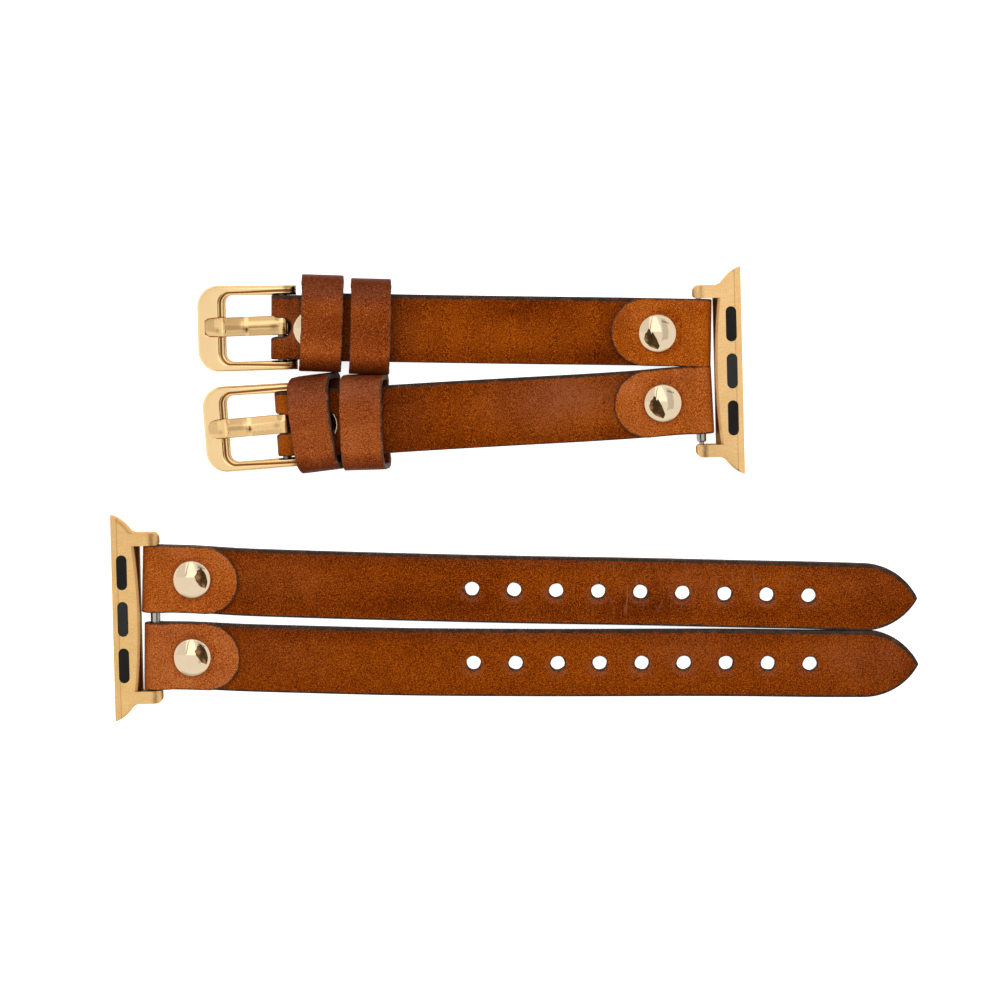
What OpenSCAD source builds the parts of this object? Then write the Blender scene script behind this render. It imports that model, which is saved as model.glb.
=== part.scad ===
// Two-strand leather watch band in two halves, laid out flat.
// Each half has a metal adapter that slides into a watch case, and two narrow straps
// that hinge on one sprung bar. The short half carries two pin buckles and their
// keepers, the long half has the punched straps. Millimetres, +Z away from the table.

/* [Leather] */
// Width of each strap
strap_w = 10.3; // [9.6:0.1:10.4]
// Thickness of the lining, the layer against the wrist
lining_t = 0.9; // [0.8:0.05:1.0]
// Thickness of the grain-side skin
skin_t = 0.9; // [0.8:0.05:1.0]
// Length of the folded tab beyond the spring bar's axis
tab_len = 13.5; // [11.5:0.5:16]
// Distance from the spring bar's axis to the lug rivet
lug_rivet_x = 6.1; // [5.9:0.1:7]
// Play between the spring bar and the leather loop around it
lug_play = 0.25; // [0.25:0.05:0.35]

/* [Short straps] */
// Spring bar axis to buckle bar axis
short_len = 65.2; // [62:0.5:75]
// Distance from the buckle bar's axis back to its rivet
end_rivet_x = 4.9; // [4.9:0.1:6]
// Length of the leather turned back under the strap, from the buckle bar's axis
return_len = 9.0; // [8.5:0.5:12]
// Play between the buckle bar and the leather loop around it
buckle_play = 0.15; // [0.15:0.05:0.2]

/* [Long straps] */
// Spring bar axis to the tip
long_len = 120.2; // [112:1:135]
// Number of tang holes in each strap
hole_n = 9; // [5:1:9]
// Distance between two holes
hole_pitch = 6.63; // [5.5:0.05:6.8]
// Spring bar axis to the first hole
first_hole_x = 50; // [46:0.5:50]
// Diameter of a tang hole
hole_d = 2.4; // [2.2:0.1:2.8]
// Radius of the two arcs that draw the strap to its point
point_r = 9.7; // [9:0.1:12]

/* [Adapters] */
// Length of the adapter along its slide
adapter_len = 32.6; // [32.4:0.2:34]
// Thickness of the adapter
adapter_t = 3.9; // [3.8:0.1:4.4]
// Depth of the adapter's bar, from the strap side to the case side
adapter_depth = 4.35; // [4.3:0.05:4.8]
// Gap between the arms that hold the spring bar
arm_gap = 23; // [22.8:0.1:23.4]
// Thickness of an arm
arm_w = 1.95; // [1.8:0.05:2.1]
// Radius of the fillet between an arm and the rounded end
root_r = 1.6; // [1:0.1:2]
// Length of the arm beyond the spring bar's axis
arm_over = 0.95; // [0.9:0.05:1.2]
// How far the strap side bows out in its middle
bow = 0.7; // [0.5:0.1:1]
// Width of the slanted facet along the case side
facet_w = 1.05; // [0.8:0.05:1.2]
// Drop of that facet
facet_drop = 0.9; // [0.6:0.05:1.1]
// Bevel along the strap side and the ends
edge_bevel = 0.4; // [0.2:0.05:0.5]
// Radius of the rounded ends, seen from above
end_r = 6; // [5.8:0.1:6.4]

/* [Pads and latch] */
// Length of each slot in the adapter's face
slot_len = 5.5; // [5:0.1:5.8]
// Width of each slot
slot_w = 1.68; // [1.5:0.02:1.8]
// Distance between slot centres
slot_pitch = 7.35; // [7:0.05:8]
// Slot centre line to the case-side edge
slot_in = 1.68; // [1.5:0.02:1.8]
// Depth of a rubber pad's pocket
pad_depth = 1.6; // [1.2:0.1:2]
// Depth of the latch's pocket
latch_depth = 3; // [2.8:0.1:3.2]
// Height of the latch
latch_h = 1.5; // [1.2:0.1:1.7]
// Travel of the latch when it is pressed
latch_travel = 0.8; // [0.5:0.1:0.9]

/* [Spring bars] */
// Outer diameter of the spring bar's tube
bar_d = 1.5; // [1.4:0.05:1.6]
// Wall of the tube
bar_wall = 0.2; // [0.15:0.05:0.25]
// Diameter of the sprung tips
tip_d = 0.76; // [0.7:0.02:0.8]
// Depth that a tip enters its arm
tip_in = 0.7; // [0.5:0.1:0.9]
// Gap between the tube's end and the arm
bar_gap = 0.4; // [0.3:0.05:0.5]

/* [Rivets] */
// Diameter of a rivet's domed cap
cap_d = 6; // [5:0.1:6]
// Height of the dome
cap_h = 1.2; // [0.9:0.1:1.3]
// Outer diameter of the rivet's hollow post
post_d = 2.4; // [2:0.1:2.8]
// Diameter of the flush disc on the back
base_d = 5; // [4:0.1:5]
// Thickness of that disc
base_t = 0.4; // [0.3:0.05:0.5]

/* [Buckles] */
// Length of the frame in front of the buckle bar's axis
frame_len = 13.4; // [12.6:0.1:15]
// Width of the frame at its front corners
frame_w = 13.4; // [13:0.1:14]
// Width of the frame at the buckle bar
eye_w = 12.8; // [12.8:0.05:12.9]
// Width of the window, where the leather's neck passes
window_w = 10.35; // [10.3:0.05:10.4]
// Length of the front bar, from the window to the front edge
front_bar_l = 4; // [3.6:0.1:4.4]
// Thickness of the frame
frame_t = 2.2; // [2:0.1:2.4]
// Length of the arms behind the buckle bar's axis
frame_tail = 2.3; // [2:0.1:2.3]
// Radius that the frame is bent to, to follow the wrist
frame_bend_r = 60; // [50:1:90]
// Radius of the two front corners
front_corner_r = 3.8; // [3:0.1:4.5]
// Diameter of the buckle bar
buckle_bar_d = 1.4; // [1.3:0.05:1.4]
// Width of the tang
tang_w = 3; // [2.6:0.1:3.1]
// Thickness of the tang
tang_t = 1; // [0.8:0.05:1.1]
// Length of the tang, from the buckle bar's axis to its tip
tang_len = 12.6; // [12:0.1:12.7]

/* [Keepers] */
// Outer width of a keeper, across the strap
keeper_w = 14.9; // [14.9:0.1:15.2]
// Outer height of a keeper
keeper_h = 6.4; // [6.3:0.1:7]
// Length of a keeper along the strap
keeper_l = 6.2; // [5.6:0.1:6.5]
// Thickness of a keeper's leather
keeper_t = 0.95; // [0.85:0.05:0.95]

/* [Layout on the table] */
// Turn of the short half's adapter
short_turn = 1.6; // [0:0.1:3]
// Turn of the long half's adapter
long_turn = 1.1; // [0:0.1:3]
// Distance between the two halves' spring bars, along the straps
halves_dx = 85.6; // [84:0.1:95]
// Distance between the two halves' centres, across the straps
halves_dy = 38.8; // [38.5:0.1:50]

/* [Hidden] */
$fn = 64;

// Running fit of metal pieces on each other, and of the rubber in its pocket
fit = 0.04;
// Gap of the latch and of the tang's slot to what moves in them
side_gap = 0.08;
// Least gap between two pieces that lie next to each other
rest_gap = 0.05;

// Loop of the lining round the spring bar
lug_in_r = bar_d / 2 + lug_play;
lug_out_r = lug_in_r + lining_t;
lug_mid_r = (lug_in_r + lug_out_r) / 2;
// Height of the spring bars' axes above the table
bar_z = max(adapter_t / 2, lug_out_r + rest_gap);

// Levels in a strap, measured from the spring bar's axis
under_z = -lug_out_r;
lining_top_z = under_z + lining_t;
skin_top_z = lining_top_z + skin_t;
tab_mid_z = skin_top_z + lining_t / 2;
return_low_z = under_z - skin_t;
// Run over which the tab comes down from its loop to the strap
lug_fall = lug_rivet_x - cap_d / 2 - rest_gap;
// The skin starts under the tab, pared to nothing
skive_tip = [lug_fall - 1.6, lining_top_z];

// Loop of the skin round the buckle bar
buckle_in_r = buckle_bar_d / 2 + buckle_play;
buckle_out_r = buckle_in_r + skin_t;
buckle_mid_r = (buckle_in_r + buckle_out_r) / 2;
buckle_z = (skin_top_z + return_low_z) / 2;
buckle_flare = end_rivet_x - cap_d / 2 - rest_gap;
neck_gap = 0.2;
neck_w = window_w - 2 * neck_gap;
neck_len = frame_tail + 0.9;
tang_slot_w = tang_w + 6 * side_gap;
ring_r = buckle_bar_d / 2 + fit + 0.55;
pin_len = (window_w + eye_w) / 2;
tang_slot_back = ring_r + 2 * side_gap;

// Adapter, measured from the spring bar's axis towards the case
wall_x = lug_out_r + 0.4;
case_x = wall_x + adapter_depth;
bow_r = (pow(arm_gap / 2, 2) + pow(bow, 2)) / (2 * bow);
end_off = 2.05;
end_y = adapter_len / 2 - sqrt(pow(end_r, 2) - pow(end_off, 2));
slot_x = case_x - slot_in;
face_z = adapter_t / 2;
arm_out_y = arm_gap / 2 + arm_w;
// Middle of the fillet circle, which touches the arm's side and the end's arc
root_at = [case_x + end_off - sqrt(pow(end_r + root_r, 2) - pow(arm_out_y + root_r - end_y, 2)),
           arm_out_y + root_r];

// Spring bar
tube_len = arm_gap - 2 * bar_gap;
tube_in_r = bar_d / 2 - bar_wall;
mouth_l = 0.35;
head_l = 0.8;
tip_end_y = arm_gap / 2 + tip_in;
head_out_y = tube_len / 2 - mouth_l - fit;

// Keepers: distance of each one's middle behind the buckle bar's axis, its shift
// across the strap and its turn on it, for strap 1 and strap 2
keeper_a_back = [6.3, 5.4];
keeper_b_back = [13.7, 12.7];
keeper_a_shift = [-0.7, 0];
keeper_b_shift = [-0.6, 0.3];
keeper_a_turn = [-1.2, 3.8];
keeper_b_turn = [-0.7, 0];
// Lean of each keeper's top towards the buckle, as a slope
keeper_a_lean = [0, 0.35];
keeper_b_lean = [0, 0.2];
// Keeper a goes round the turned-back leather, keeper b round the plain strap
keeper_a_low_z = return_low_z - 2 * rest_gap - keeper_t;
keeper_b_low_z = under_z - 2 * rest_gap - keeper_t;

// The short straps rise from their adapter until the keepers lie on the table
keeper_reach = short_len - keeper_a_back[0] - keeper_l / 2;
short_rise = atan((-keeper_a_low_z - bar_z + rest_gap) / keeper_reach);
// The buckle's front edge comes down to the table
function frame_bend(x) = sqrt(pow(frame_bend_r, 2) - pow(x, 2)) - frame_bend_r;
front_x = frame_len - frame_t / 2;
bar_height = bar_z + buckle_z * cos(short_rise) + short_len * sin(short_rise);
front_drop = bar_height + frame_bend(front_x) - frame_t / 2 - rest_gap;
buckle_droop = short_rise + asin(front_drop / front_x);

// Places of the straps along each spring bar, and their turn from square to it
short_side_y = [5.85, -4.9];
short_strap_turn = [-2.33, 1.7];
long_side_y = [-6.05, 6.15];
long_strap_turn = [-2.67, -1.85];
buckle_turn = [0.9, 0.6];
// Each tang's place along its bar and its turn on it
tang_shift = [-0.2, -0.15];
tang_turn = [1, 0.9];

// The halves' places, with the origin under the middle of the whole layout
short_at = [29.005, 19.373];
long_at = [short_at[0] - halves_dx, short_at[1] - halves_dy];

// Colours
tan_leather = "sienna";
dark_leather = "saddlebrown";
gold = "goldenrod";
steel = "silver";

// Points of an arc from angle a to angle b
function arc(centre, r, a, b, n = 12) =
    [for (i = [0:n]) centre + r * [cos(a + (b - a) * i / n), sin(a + (b - a) * i / n)]];

// Points of a smooth step from one point to another, level at both ends
function s_curve(p, q, n = 8) =
    [for (i = [0:n]) [p[0] + (q[0] - p[0]) * i / n,
                      p[1] + (q[1] - p[1]) * (1 - cos(180 * i / n)) / 2]];

// The list without its first point, where two stretches join
function tail(p) = [for (i = [1:len(p) - 1]) p[i]];

// Direction of a path at its point i
function heading(p, i) =
    let (v = p[min(i + 1, len(p) - 1)] - p[max(i - 1, 0)]) v / norm(v);

// Outline of a strip of thickness t that follows a path
function ribbon(p, t) = concat(
    [for (i = [0:len(p) - 1]) let (d = heading(p, i)) p[i] + t / 2 * [-d[1], d[0]]],
    [for (i = [len(p) - 1:-1:0]) let (d = heading(p, i)) p[i] - t / 2 * [-d[1], d[0]]]);

// A side view in X and Z, given its width along Y
module side_extrude(w) {
    rotate([90, 0, 0]) linear_extrude(w, center = true) children();
}

// A shape turned about the Y axis
module turned_on_y() {
    rotate([-90, 0, 0]) rotate_extrude() children();
}

// A slot's outline, long in Y
module slot_shape(l, w) {
    square([w, l - w], center = true);
    for (s = [-1, 1]) translate([0, s * (l - w) / 2]) circle(d = w);
}

// A coil of round wire standing on Z, from a sweep of 6-sided rings
module coil(r, wire_d, h, turns) {
    steps = 10 * turns;
    sides = 6;
    ring = [for (i = [0:steps]) for (k = [0:sides - 1])
        let (a = 36 * i, q = r + wire_d / 2 * cos(60 * k))
        [q * cos(a), q * sin(a), wire_d / 2 + (h - wire_d) * i / steps + wire_d / 2 * sin(60 * k)]];
    walls = [for (i = [0:steps - 1]) for (k = [0:sides - 1])
        let (a = i * sides + k, b = i * sides + (k + 1) % sides)
        for (t = [[a, a + sides, b + sides], [a, b + sides, b]]) t];
    ends = [[for (k = [0:sides - 1]) k],
            [for (k = [sides - 1:-1:0]) steps * sides + k]];
    polyhedron(ring, concat(walls, ends), convexity = 10);
}

// Frames of reference
module short_half() {
    translate([short_at[0], short_at[1], bar_z]) rotate(short_turn) children();
}

module long_half() {
    translate([long_at[0], long_at[1], bar_z]) rotate(180 + long_turn) children();
}

// On strap i, with +X along the strap and the spring bar's axis at the origin
module on_short(i) {
    short_half() translate([0, short_side_y[i], 0]) rotate([0, 0, 180 + short_strap_turn[i]])
        rotate([0, -short_rise, 0]) children();
}

module on_long(i) {
    long_half() translate([0, long_side_y[i], 0]) rotate([0, 0, 180 + long_strap_turn[i]])
        children();
}

// On buckle i, with +X to its front bar and the buckle bar's axis at the origin
module on_buckle(i) {
    on_short(i) translate([short_len, 0, buckle_z]) rotate([0, buckle_droop, 0])
        rotate([0, 0, buckle_turn[i]]) children();
}

// Adapter: a bowed bar with rounded ends and two arms for the spring bar
module bevelled_disc(r) {
    z = face_z - edge_bevel;
    far = face_z + 1;
    rotate_extrude($fn = 360) polygon([[0, -far], [r - far + z, -far], [r, -z],
        [r, z], [r - far + z, far], [0, far]]);
}

// A thin slice of the bar's plan at height z, its strap side straight or bowed
module bar_slice(z, bowed, inset) {
    far = adapter_len / 2 + 1;
    a = asin(far / bow_r);
    translate([0, 0, z]) linear_extrude(0.01)
        if (bowed) polygon(concat(arc([wall_x + bow_r, 0], bow_r - inset, 180 - a, 180 + a, 24),
            [[case_x + 1, -far], [case_x + 1, far]]));
        else translate([wall_x + inset, -far]) square([case_x + 1 - wall_x - inset, 2 * far]);
}

// The wall towards the strap leans from a straight foot to the bowed edge of the face
module strap_wall() {
    hull() {
        bar_slice(-face_z, false, edge_bevel);
        bar_slice(edge_bevel - face_z, false, 0);
        bar_slice(face_z - edge_bevel - 0.01, true, 0);
        bar_slice(face_z - 0.01, true, edge_bevel);
    }
}

module adapter_bar() {
    intersection() {
        side_extrude(adapter_len + 2) polygon([[0, -face_z], [case_x - facet_w, -face_z],
            [case_x, facet_drop - face_z], [case_x, face_z - facet_drop],
            [case_x - facet_w, face_z], [0, face_z]]);
        strap_wall();
        union() {
            translate([0, -arm_gap / 2 - 1, -face_z - 1]) cube([case_x + 1, arm_gap + 2, adapter_t + 2]);
            for (s = [-1, 1]) translate([case_x + end_off, s * end_y, 0]) bevelled_disc(end_r);
        }
    }
}

module adapter_arm() {
    nose_r = face_z;
    corner = arm_w / 2;
    intersection() {
        side_extrude(adapter_len) {
            translate([nose_r - arm_over, 0]) circle(nose_r);
            translate([nose_r - arm_over, -nose_r]) square([wall_x + 1.3, adapter_t]);
        }
        translate([0, 0, -adapter_t]) linear_extrude(2 * adapter_t) {
            translate([corner - arm_over, arm_gap / 2]) square([wall_x + 2, arm_w]);
            translate([corner - arm_over, arm_gap / 2 + corner]) circle(corner);
            translate([corner / 2 - arm_over, arm_gap / 2 + corner / 2]) circle(corner / 2);
            translate([corner / 2 - arm_over, arm_gap / 2]) square([corner, corner]);
            translate([-arm_over, arm_gap / 2 + corner / 2]) square([corner, corner / 2]);
        }
    }
}

// Fillet between an arm's outer side and the rounded end
module arm_root() {
    touch = end_r / (end_r + root_r);
    touch_at = [case_x + end_off, end_y] + touch * (root_at - [case_x + end_off, end_y]);
    translate([0, 0, edge_bevel - face_z]) linear_extrude(adapter_t - 2 * edge_bevel) difference() {
        translate([root_at[0], arm_out_y - 0.5])
            square([touch_at[0] - root_at[0], touch_at[1] - arm_out_y + 0.5]);
        translate(root_at) circle(root_r);
    }
}

module adapter() {
    color(gold) difference() {
        union() {
            adapter_bar();
            for (s = [0, 1]) mirror([0, s, 0]) {
                adapter_arm();
                arm_root();
            }
        }
        for (s = [-1, 1]) translate([0, s * (arm_gap + tip_in) / 2, 0]) rotate([90, 0, 0])
            cylinder(d = tip_d + 2 * fit, h = tip_in + 4 * fit, center = true);
        for (s = [-1, 1]) translate([slot_x, s * slot_pitch, face_z - pad_depth])
            linear_extrude(pad_depth + 1) slot_shape(slot_len, slot_w);
        translate([slot_x, 0, face_z - latch_depth])
            linear_extrude(latch_depth + 1) slot_shape(slot_len, slot_w);
    }
}

// Rubber pads that keep the adapter from rattling in the case
module pads() {
    color("black") for (s = [-1, 1])
        translate([slot_x, s * slot_pitch, face_z - pad_depth + fit])
            linear_extrude(pad_depth - 2 * fit) slot_shape(slot_len - 2 * fit, slot_w - 2 * fit);
}

// Sprung latch that snaps into the case
module latch() {
    color("dimgray") translate([slot_x, 0, face_z - latch_h])
        linear_extrude(latch_h - fit) slot_shape(slot_len - 2 * side_gap, slot_w - 2 * side_gap);
}

module latch_spring() {
    space = latch_depth - latch_h - 2 * fit;
    color(steel) translate([slot_x, 0, face_z - latch_depth + fit])
        coil(slot_w / 2 - 0.35, 0.18, space, 4);
}

// Spring bar: a tube with turned-in mouths, and a sprung tip at each end
module bar_tube() {
    r = bar_d / 2;
    mouth_r = tip_d / 2 + fit;
    half = tube_len / 2;
    lip = r - mouth_r;
    wall = concat([[mouth_r, half]], arc([mouth_r, half - lip], lip, 90, 0, 6),
        arc([mouth_r, lip - half], lip, 0, -90, 6));
    bore = [[mouth_r, mouth_l - half], [tube_in_r, mouth_l - half],
            [tube_in_r, half - mouth_l], [mouth_r, half - mouth_l]];
    color(steel) turned_on_y() polygon(concat(tail(wall), bore));
}

module bar_tip(s) {
    r = tip_d / 2;
    head_r = tube_in_r - fit;
    chamfer = 0.15;
    color(steel) scale([1, s, 1]) turned_on_y() polygon([[0, head_out_y - head_l],
        [head_r, head_out_y - head_l], [head_r, head_out_y], [r, head_out_y],
        [r, tip_end_y - chamfer], [r - chamfer, tip_end_y], [0, tip_end_y]]);
}

module bar_spring() {
    space = 2 * (head_out_y - head_l - fit);
    wire = 0.12;
    color(steel) rotate([90, 0, 0]) translate([0, 0, -space / 2])
        coil(tube_in_r - wire / 2 - fit, wire, space, 14);
}

// Side view of the lining: under the strap, round the spring bar and back as a tab
function lug_path(end_x) = concat([[end_x, -lug_mid_r]],
    arc([0, 0], lug_mid_r, 270, 90, 16),
    tail(s_curve([0, lug_mid_r], [lug_fall, tab_mid_z])), [[tab_len, tab_mid_z]]);

module lining(end_x) {
    round_r = strap_w / 2;
    difference() {
        side_extrude(strap_w) polygon(ribbon(lug_path(end_x), lining_t));
        translate([tab_len - round_r, 0, skin_top_z - skin_t / 2]) linear_extrude(3) difference() {
            translate([0, -strap_w]) square([strap_w, 2 * strap_w]);
            circle(round_r);
        }
        rivet_cut(lug_rivet_x, under_z);
    }
}

// Hole for a rivet's post, and the recess of its flush disc
module rivet_cut(x, low_z) {
    translate([x, 0, low_z - 1]) cylinder(d = post_d + 2 * fit, h = 8);
    translate([x, 0, low_z - 1]) cylinder(d = base_d + 2 * fit, h = 1 + base_t);
}

module hole_row() {
    for (i = [0:hole_n - 1]) translate([first_hole_x + i * hole_pitch, 0, under_z - 1])
        cylinder(d = hole_d, h = lining_t + skin_t + 2);
}

// Plan of a long strap, drawn to its point by two arcs
module long_plan() {
    rise = point_r - strap_w / 2;
    point_l = sqrt(pow(point_r, 2) - pow(rise, 2));
    start = long_len - point_l;
    translate([-lug_out_r, -strap_w / 2]) square([lug_out_r + start, strap_w]);
    intersection() {
        translate([start, -rise]) circle(point_r, $fn = 180);
        translate([start, rise]) circle(point_r, $fn = 180);
        translate([start - 0.01, -strap_w]) square([point_l - 0.15, 2 * strap_w]);
    }
}

module long_lining() {
    color(dark_leather) difference() {
        intersection() {
            lining(long_len + 1);
            translate([0, 0, under_z - 1]) linear_extrude(6) long_plan();
        }
        hole_row();
    }
}

module long_skin() {
    color(tan_leather) difference() {
        intersection() {
            side_extrude(strap_w) polygon([skive_tip, [long_len, lining_top_z],
                [long_len, skin_top_z], [lug_fall, skin_top_z]]);
            translate([0, 0, under_z]) linear_extrude(6) long_plan();
        }
        hole_row();
        rivet_cut(lug_rivet_x, under_z - 2);
    }
}

module short_lining() {
    color(dark_leather) difference() {
        lining(short_len - buckle_out_r - rest_gap);
        rivet_cut(short_len - end_rivet_x, under_z - 2);
        neck_cut();
    }
}

// Side view of the skin at the buckle: on the strap, round the bar and back beneath
function end_path() =
    let (start = short_len - buckle_flare,
         skin_mid = skin_top_z - skin_t / 2,
         return_mid = return_low_z + skin_t / 2)
    concat([[lug_fall, skin_mid]],
        s_curve([start, skin_mid], [short_len, buckle_z + buckle_mid_r]),
        tail(arc([short_len, buckle_z], buckle_mid_r, 90, -90, 16)),
        tail(s_curve([short_len, buckle_z - buckle_mid_r], [start, return_mid])),
        [[short_len - return_len, return_mid]]);

// Leather beside the neck, which passes between the buckle's arms
module neck_cut() {
    translate([short_len - neck_len, 0, -6]) linear_extrude(12) difference() {
        translate([0, -strap_w]) square([4 * neck_len, 2 * strap_w]);
        translate([-1, -neck_w / 2]) square([4 * neck_len + 2, neck_w]);
    }
}

module short_skin() {
    round_r = neck_w / 2;
    back_x = short_len - return_len;
    color(tan_leather) difference() {
        side_extrude(strap_w) polygon(concat(ribbon(end_path(), skin_t), [skive_tip]));
        neck_cut();
        translate([short_len - tang_slot_back, -tang_slot_w / 2, -6]) cube([6, tang_slot_w, 12]);
        translate([back_x + round_r, 0, return_low_z - 1]) linear_extrude(1 + skin_t) difference() {
            translate([-strap_w, -strap_w]) square([strap_w, 2 * strap_w]);
            circle(round_r);
        }
        rivet_cut(lug_rivet_x, under_z - 2);
        rivet_cut(short_len - end_rivet_x, return_low_z);
    }
}

// Rivet: a domed cap with a hollow post, and a flush disc whose pin fills the post
module rivet_cap(x, low_z, stack) {
    rim = 0.3;
    dome_h = cap_h - rim;
    dome_r = (pow(cap_d / 2, 2) + pow(dome_h, 2)) / (2 * dome_h);
    color("gold") translate([x, 0, low_z + stack]) {
        cylinder(d = cap_d, h = rim);
        translate([0, 0, rim]) intersection() {
            translate([0, 0, dome_h - dome_r]) sphere(dome_r, $fn = 128);
            cylinder(d = cap_d, h = dome_h + 1);
        }
        post_h = stack - base_t - fit;
        translate([0, 0, -post_h]) difference() {
            cylinder(d = post_d, h = post_h + 0.1);
            translate([0, 0, -1]) cylinder(d = post_d / 2 + 2 * fit, h = post_h + 0.6);
        }
    }
}

module rivet_base(x, low_z, stack) {
    color(steel) translate([x, 0, low_z]) {
        cylinder(d = base_d, h = base_t);
        cylinder(d = post_d / 2, h = stack - 0.5);
    }
}

// Buckle frame: an arched band with a window, open behind the bar
module frame_plan() {
    half = frame_w / 2;
    eye_half = eye_w / 2;
    corner_x = frame_len - front_corner_r;
    tail_r = (eye_w - window_w) / 4;
    tail_x = tail_r - frame_tail;
    lip_r = 1.3;
    window_x = frame_len - front_bar_l;
    difference() {
        union() {
            polygon([[tail_x, -eye_half], [corner_x, -half], [corner_x, half], [tail_x, eye_half]]);
            translate([corner_x - 1, front_corner_r - half])
                square([front_corner_r + 1, frame_w - 2 * front_corner_r]);
            for (s = [-1, 1]) translate([corner_x, s * (half - front_corner_r)]) circle(front_corner_r);
            for (s = [-1, 1]) translate([tail_x, s * (eye_half - tail_r)]) circle(tail_r);
        }
        translate([-frame_tail, -window_w / 2]) square([frame_tail + window_x - lip_r, window_w]);
        translate([0, lip_r - window_w / 2]) square([window_x, window_w - 2 * lip_r]);
        for (s = [-1, 1]) translate([window_x - lip_r, s * (window_w / 2 - lip_r)]) circle(lip_r);
    }
}

module frame_side() {
    r = frame_t / 2;
    centre = [0, -frame_bend_r];
    back_a = 90 + asin((frame_tail - r) / frame_bend_r);
    front_a = 90 - asin(front_x / frame_bend_r);
    back = centre + frame_bend_r * [cos(back_a), sin(back_a)];
    front = centre + frame_bend_r * [cos(front_a), sin(front_a)];
    polygon(concat(arc(centre, frame_bend_r + r, back_a, front_a, 16),
        tail(arc(front, r, front_a, front_a - 180, 10)),
        tail(arc(centre, frame_bend_r - r, front_a, back_a, 16)),
        tail(arc(back, r, back_a - 180, back_a - 350, 10))));
}

// Underside of the tang, from its ring to the notch in the front bar
notch_floor = frame_t / 2 - 0.45;
function tang_low(x) = notch_floor + frame_bend(x) + rest_gap;

module buckle_frame() {
    notch_x = frame_len - front_bar_l - 0.6;
    tip_x = tang_len + 2 * side_gap;
    color(gold) difference() {
        intersection() {
            translate([0, 0, -8]) linear_extrude(16) frame_plan();
            side_extrude(frame_w + 1) frame_side();
        }
        rotate([90, 0, 0]) cylinder(d = buckle_bar_d + fit / 2, h = pin_len + 2 * fit, center = true);
        side_extrude(tang_w + 2 * side_gap) polygon([[notch_x, tang_low(notch_x) - rest_gap],
            [tip_x, tang_low(tip_x) - rest_gap], [tip_x, 4], [notch_x, 4]]);
    }
}

module buckle_bar() {
    color(steel) rotate([90, 0, 0]) cylinder(d = buckle_bar_d, h = pin_len, center = true);
}

// What is ground off one side of the blade, before the front bar, to leave a ridge
module tang_flank(seat_x, top_z) {
    long = 0.27 * tang_len;
    translate([seat_x - long, 0, top_z]) rotate([90, 0, 90]) linear_extrude(long)
        polygon([[0.2 * tang_w, 1], [0.2 * tang_w, 0.15], [0.6 * tang_w, -0.4], [0.6 * tang_w, 1]]);
}

// Tang: a ring on the bar and a bent blade that lies in the front bar's notch
module buckle_tang(shift, turn) {
    seat_x = frame_len - front_bar_l - 0.6;
    seat_z = tang_low(seat_x);
    tip_z = tang_low(tang_len);
    blade = [[0, ring_r], [0, 0], [seat_x - 1, seat_z], [seat_x, seat_z], [tang_len, tip_z],
        [tang_len, tip_z + 0.6 * tang_t], [seat_x, seat_z + tang_t], [seat_x - 3, seat_z + tang_t + 0.2]];
    tip_half = 0.43 * tang_w;
    plan = [[-3, -tang_w / 2], [seat_x, -tang_w / 2], [tang_len - 0.5, -tip_half],
        [tang_len, 0.5 - tip_half], [tang_len, tip_half - 0.5], [tang_len - 0.5, tip_half],
        [seat_x, tang_w / 2], [-3, tang_w / 2]];
    color(gold) translate([0, shift, 0]) rotate(turn) difference() {
        intersection() {
            side_extrude(tang_w) {
                circle(ring_r);
                polygon(blade);
            }
            translate([0, 0, -4]) linear_extrude(8) polygon(plan);
        }
        rotate([90, 0, 0]) cylinder(d = buckle_bar_d + 2 * fit, h = tang_w + 2, center = true);
        for (s = [0, 1]) mirror([0, s, 0]) tang_flank(seat_x, seat_z + tang_t);
    }
}

// Keeper: a loop of one strip of leather, its ends butted under the strap, that may
// lean along the strap. Its lower corners are tight, its upper ones well rounded.
function keeper_ring(w, h, top_r, low_r) = concat(
    arc([w / 2 - top_r, h / 2 - top_r], top_r, 0, 90, 8),
    arc([top_r - w / 2, h / 2 - top_r], top_r, 90, 180, 8),
    arc([low_r - w / 2, low_r - h / 2], low_r, 180, 270, 6),
    arc([w / 2 - low_r, low_r - h / 2], low_r, 270, 360, 6));

module keeper(back, shift, turn, lean, low_z) {
    top_r = 2.2;
    low_r = 1.4;
    off = lean * keeper_h / 2;
    color(tan_leather) translate([short_len - back, shift, low_z + keeper_h / 2]) rotate(turn)
        intersection() {
            rotate([90, 0, 90]) linear_extrude(keeper_l + 4 * off, center = true) difference() {
                polygon(keeper_ring(keeper_w, keeper_h, top_r, low_r));
                polygon(keeper_ring(keeper_w - 2 * keeper_t, keeper_h - 2 * keeper_t,
                    top_r - keeper_t, low_r - keeper_t));
            }
            if (lean != 0) side_extrude(keeper_w + 1) polygon([
                [-keeper_l / 2 - off, -keeper_h / 2], [keeper_l / 2 - off, -keeper_h / 2],
                [keeper_l / 2 + off, keeper_h / 2], [-keeper_l / 2 + off, keeper_h / 2]]);
            else cube([keeper_l + 1, keeper_w + 1, keeper_h + 1], center = true);
        }
}

module keeper_a(i) {
    on_short(i) keeper(keeper_a_back[i], keeper_a_shift[i], keeper_a_turn[i], keeper_a_lean[i],
        keeper_a_low_z);
}

module keeper_b(i) {
    on_short(i) keeper(keeper_b_back[i], keeper_b_shift[i], keeper_b_turn[i], keeper_b_lean[i],
        keeper_b_low_z);
}

// Thickness that each rivet holds together
lug_stack = 2 * lining_t + skin_t;
end_stack = lining_t + 2 * skin_t;
end_rivet_at = short_len - end_rivet_x;

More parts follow.
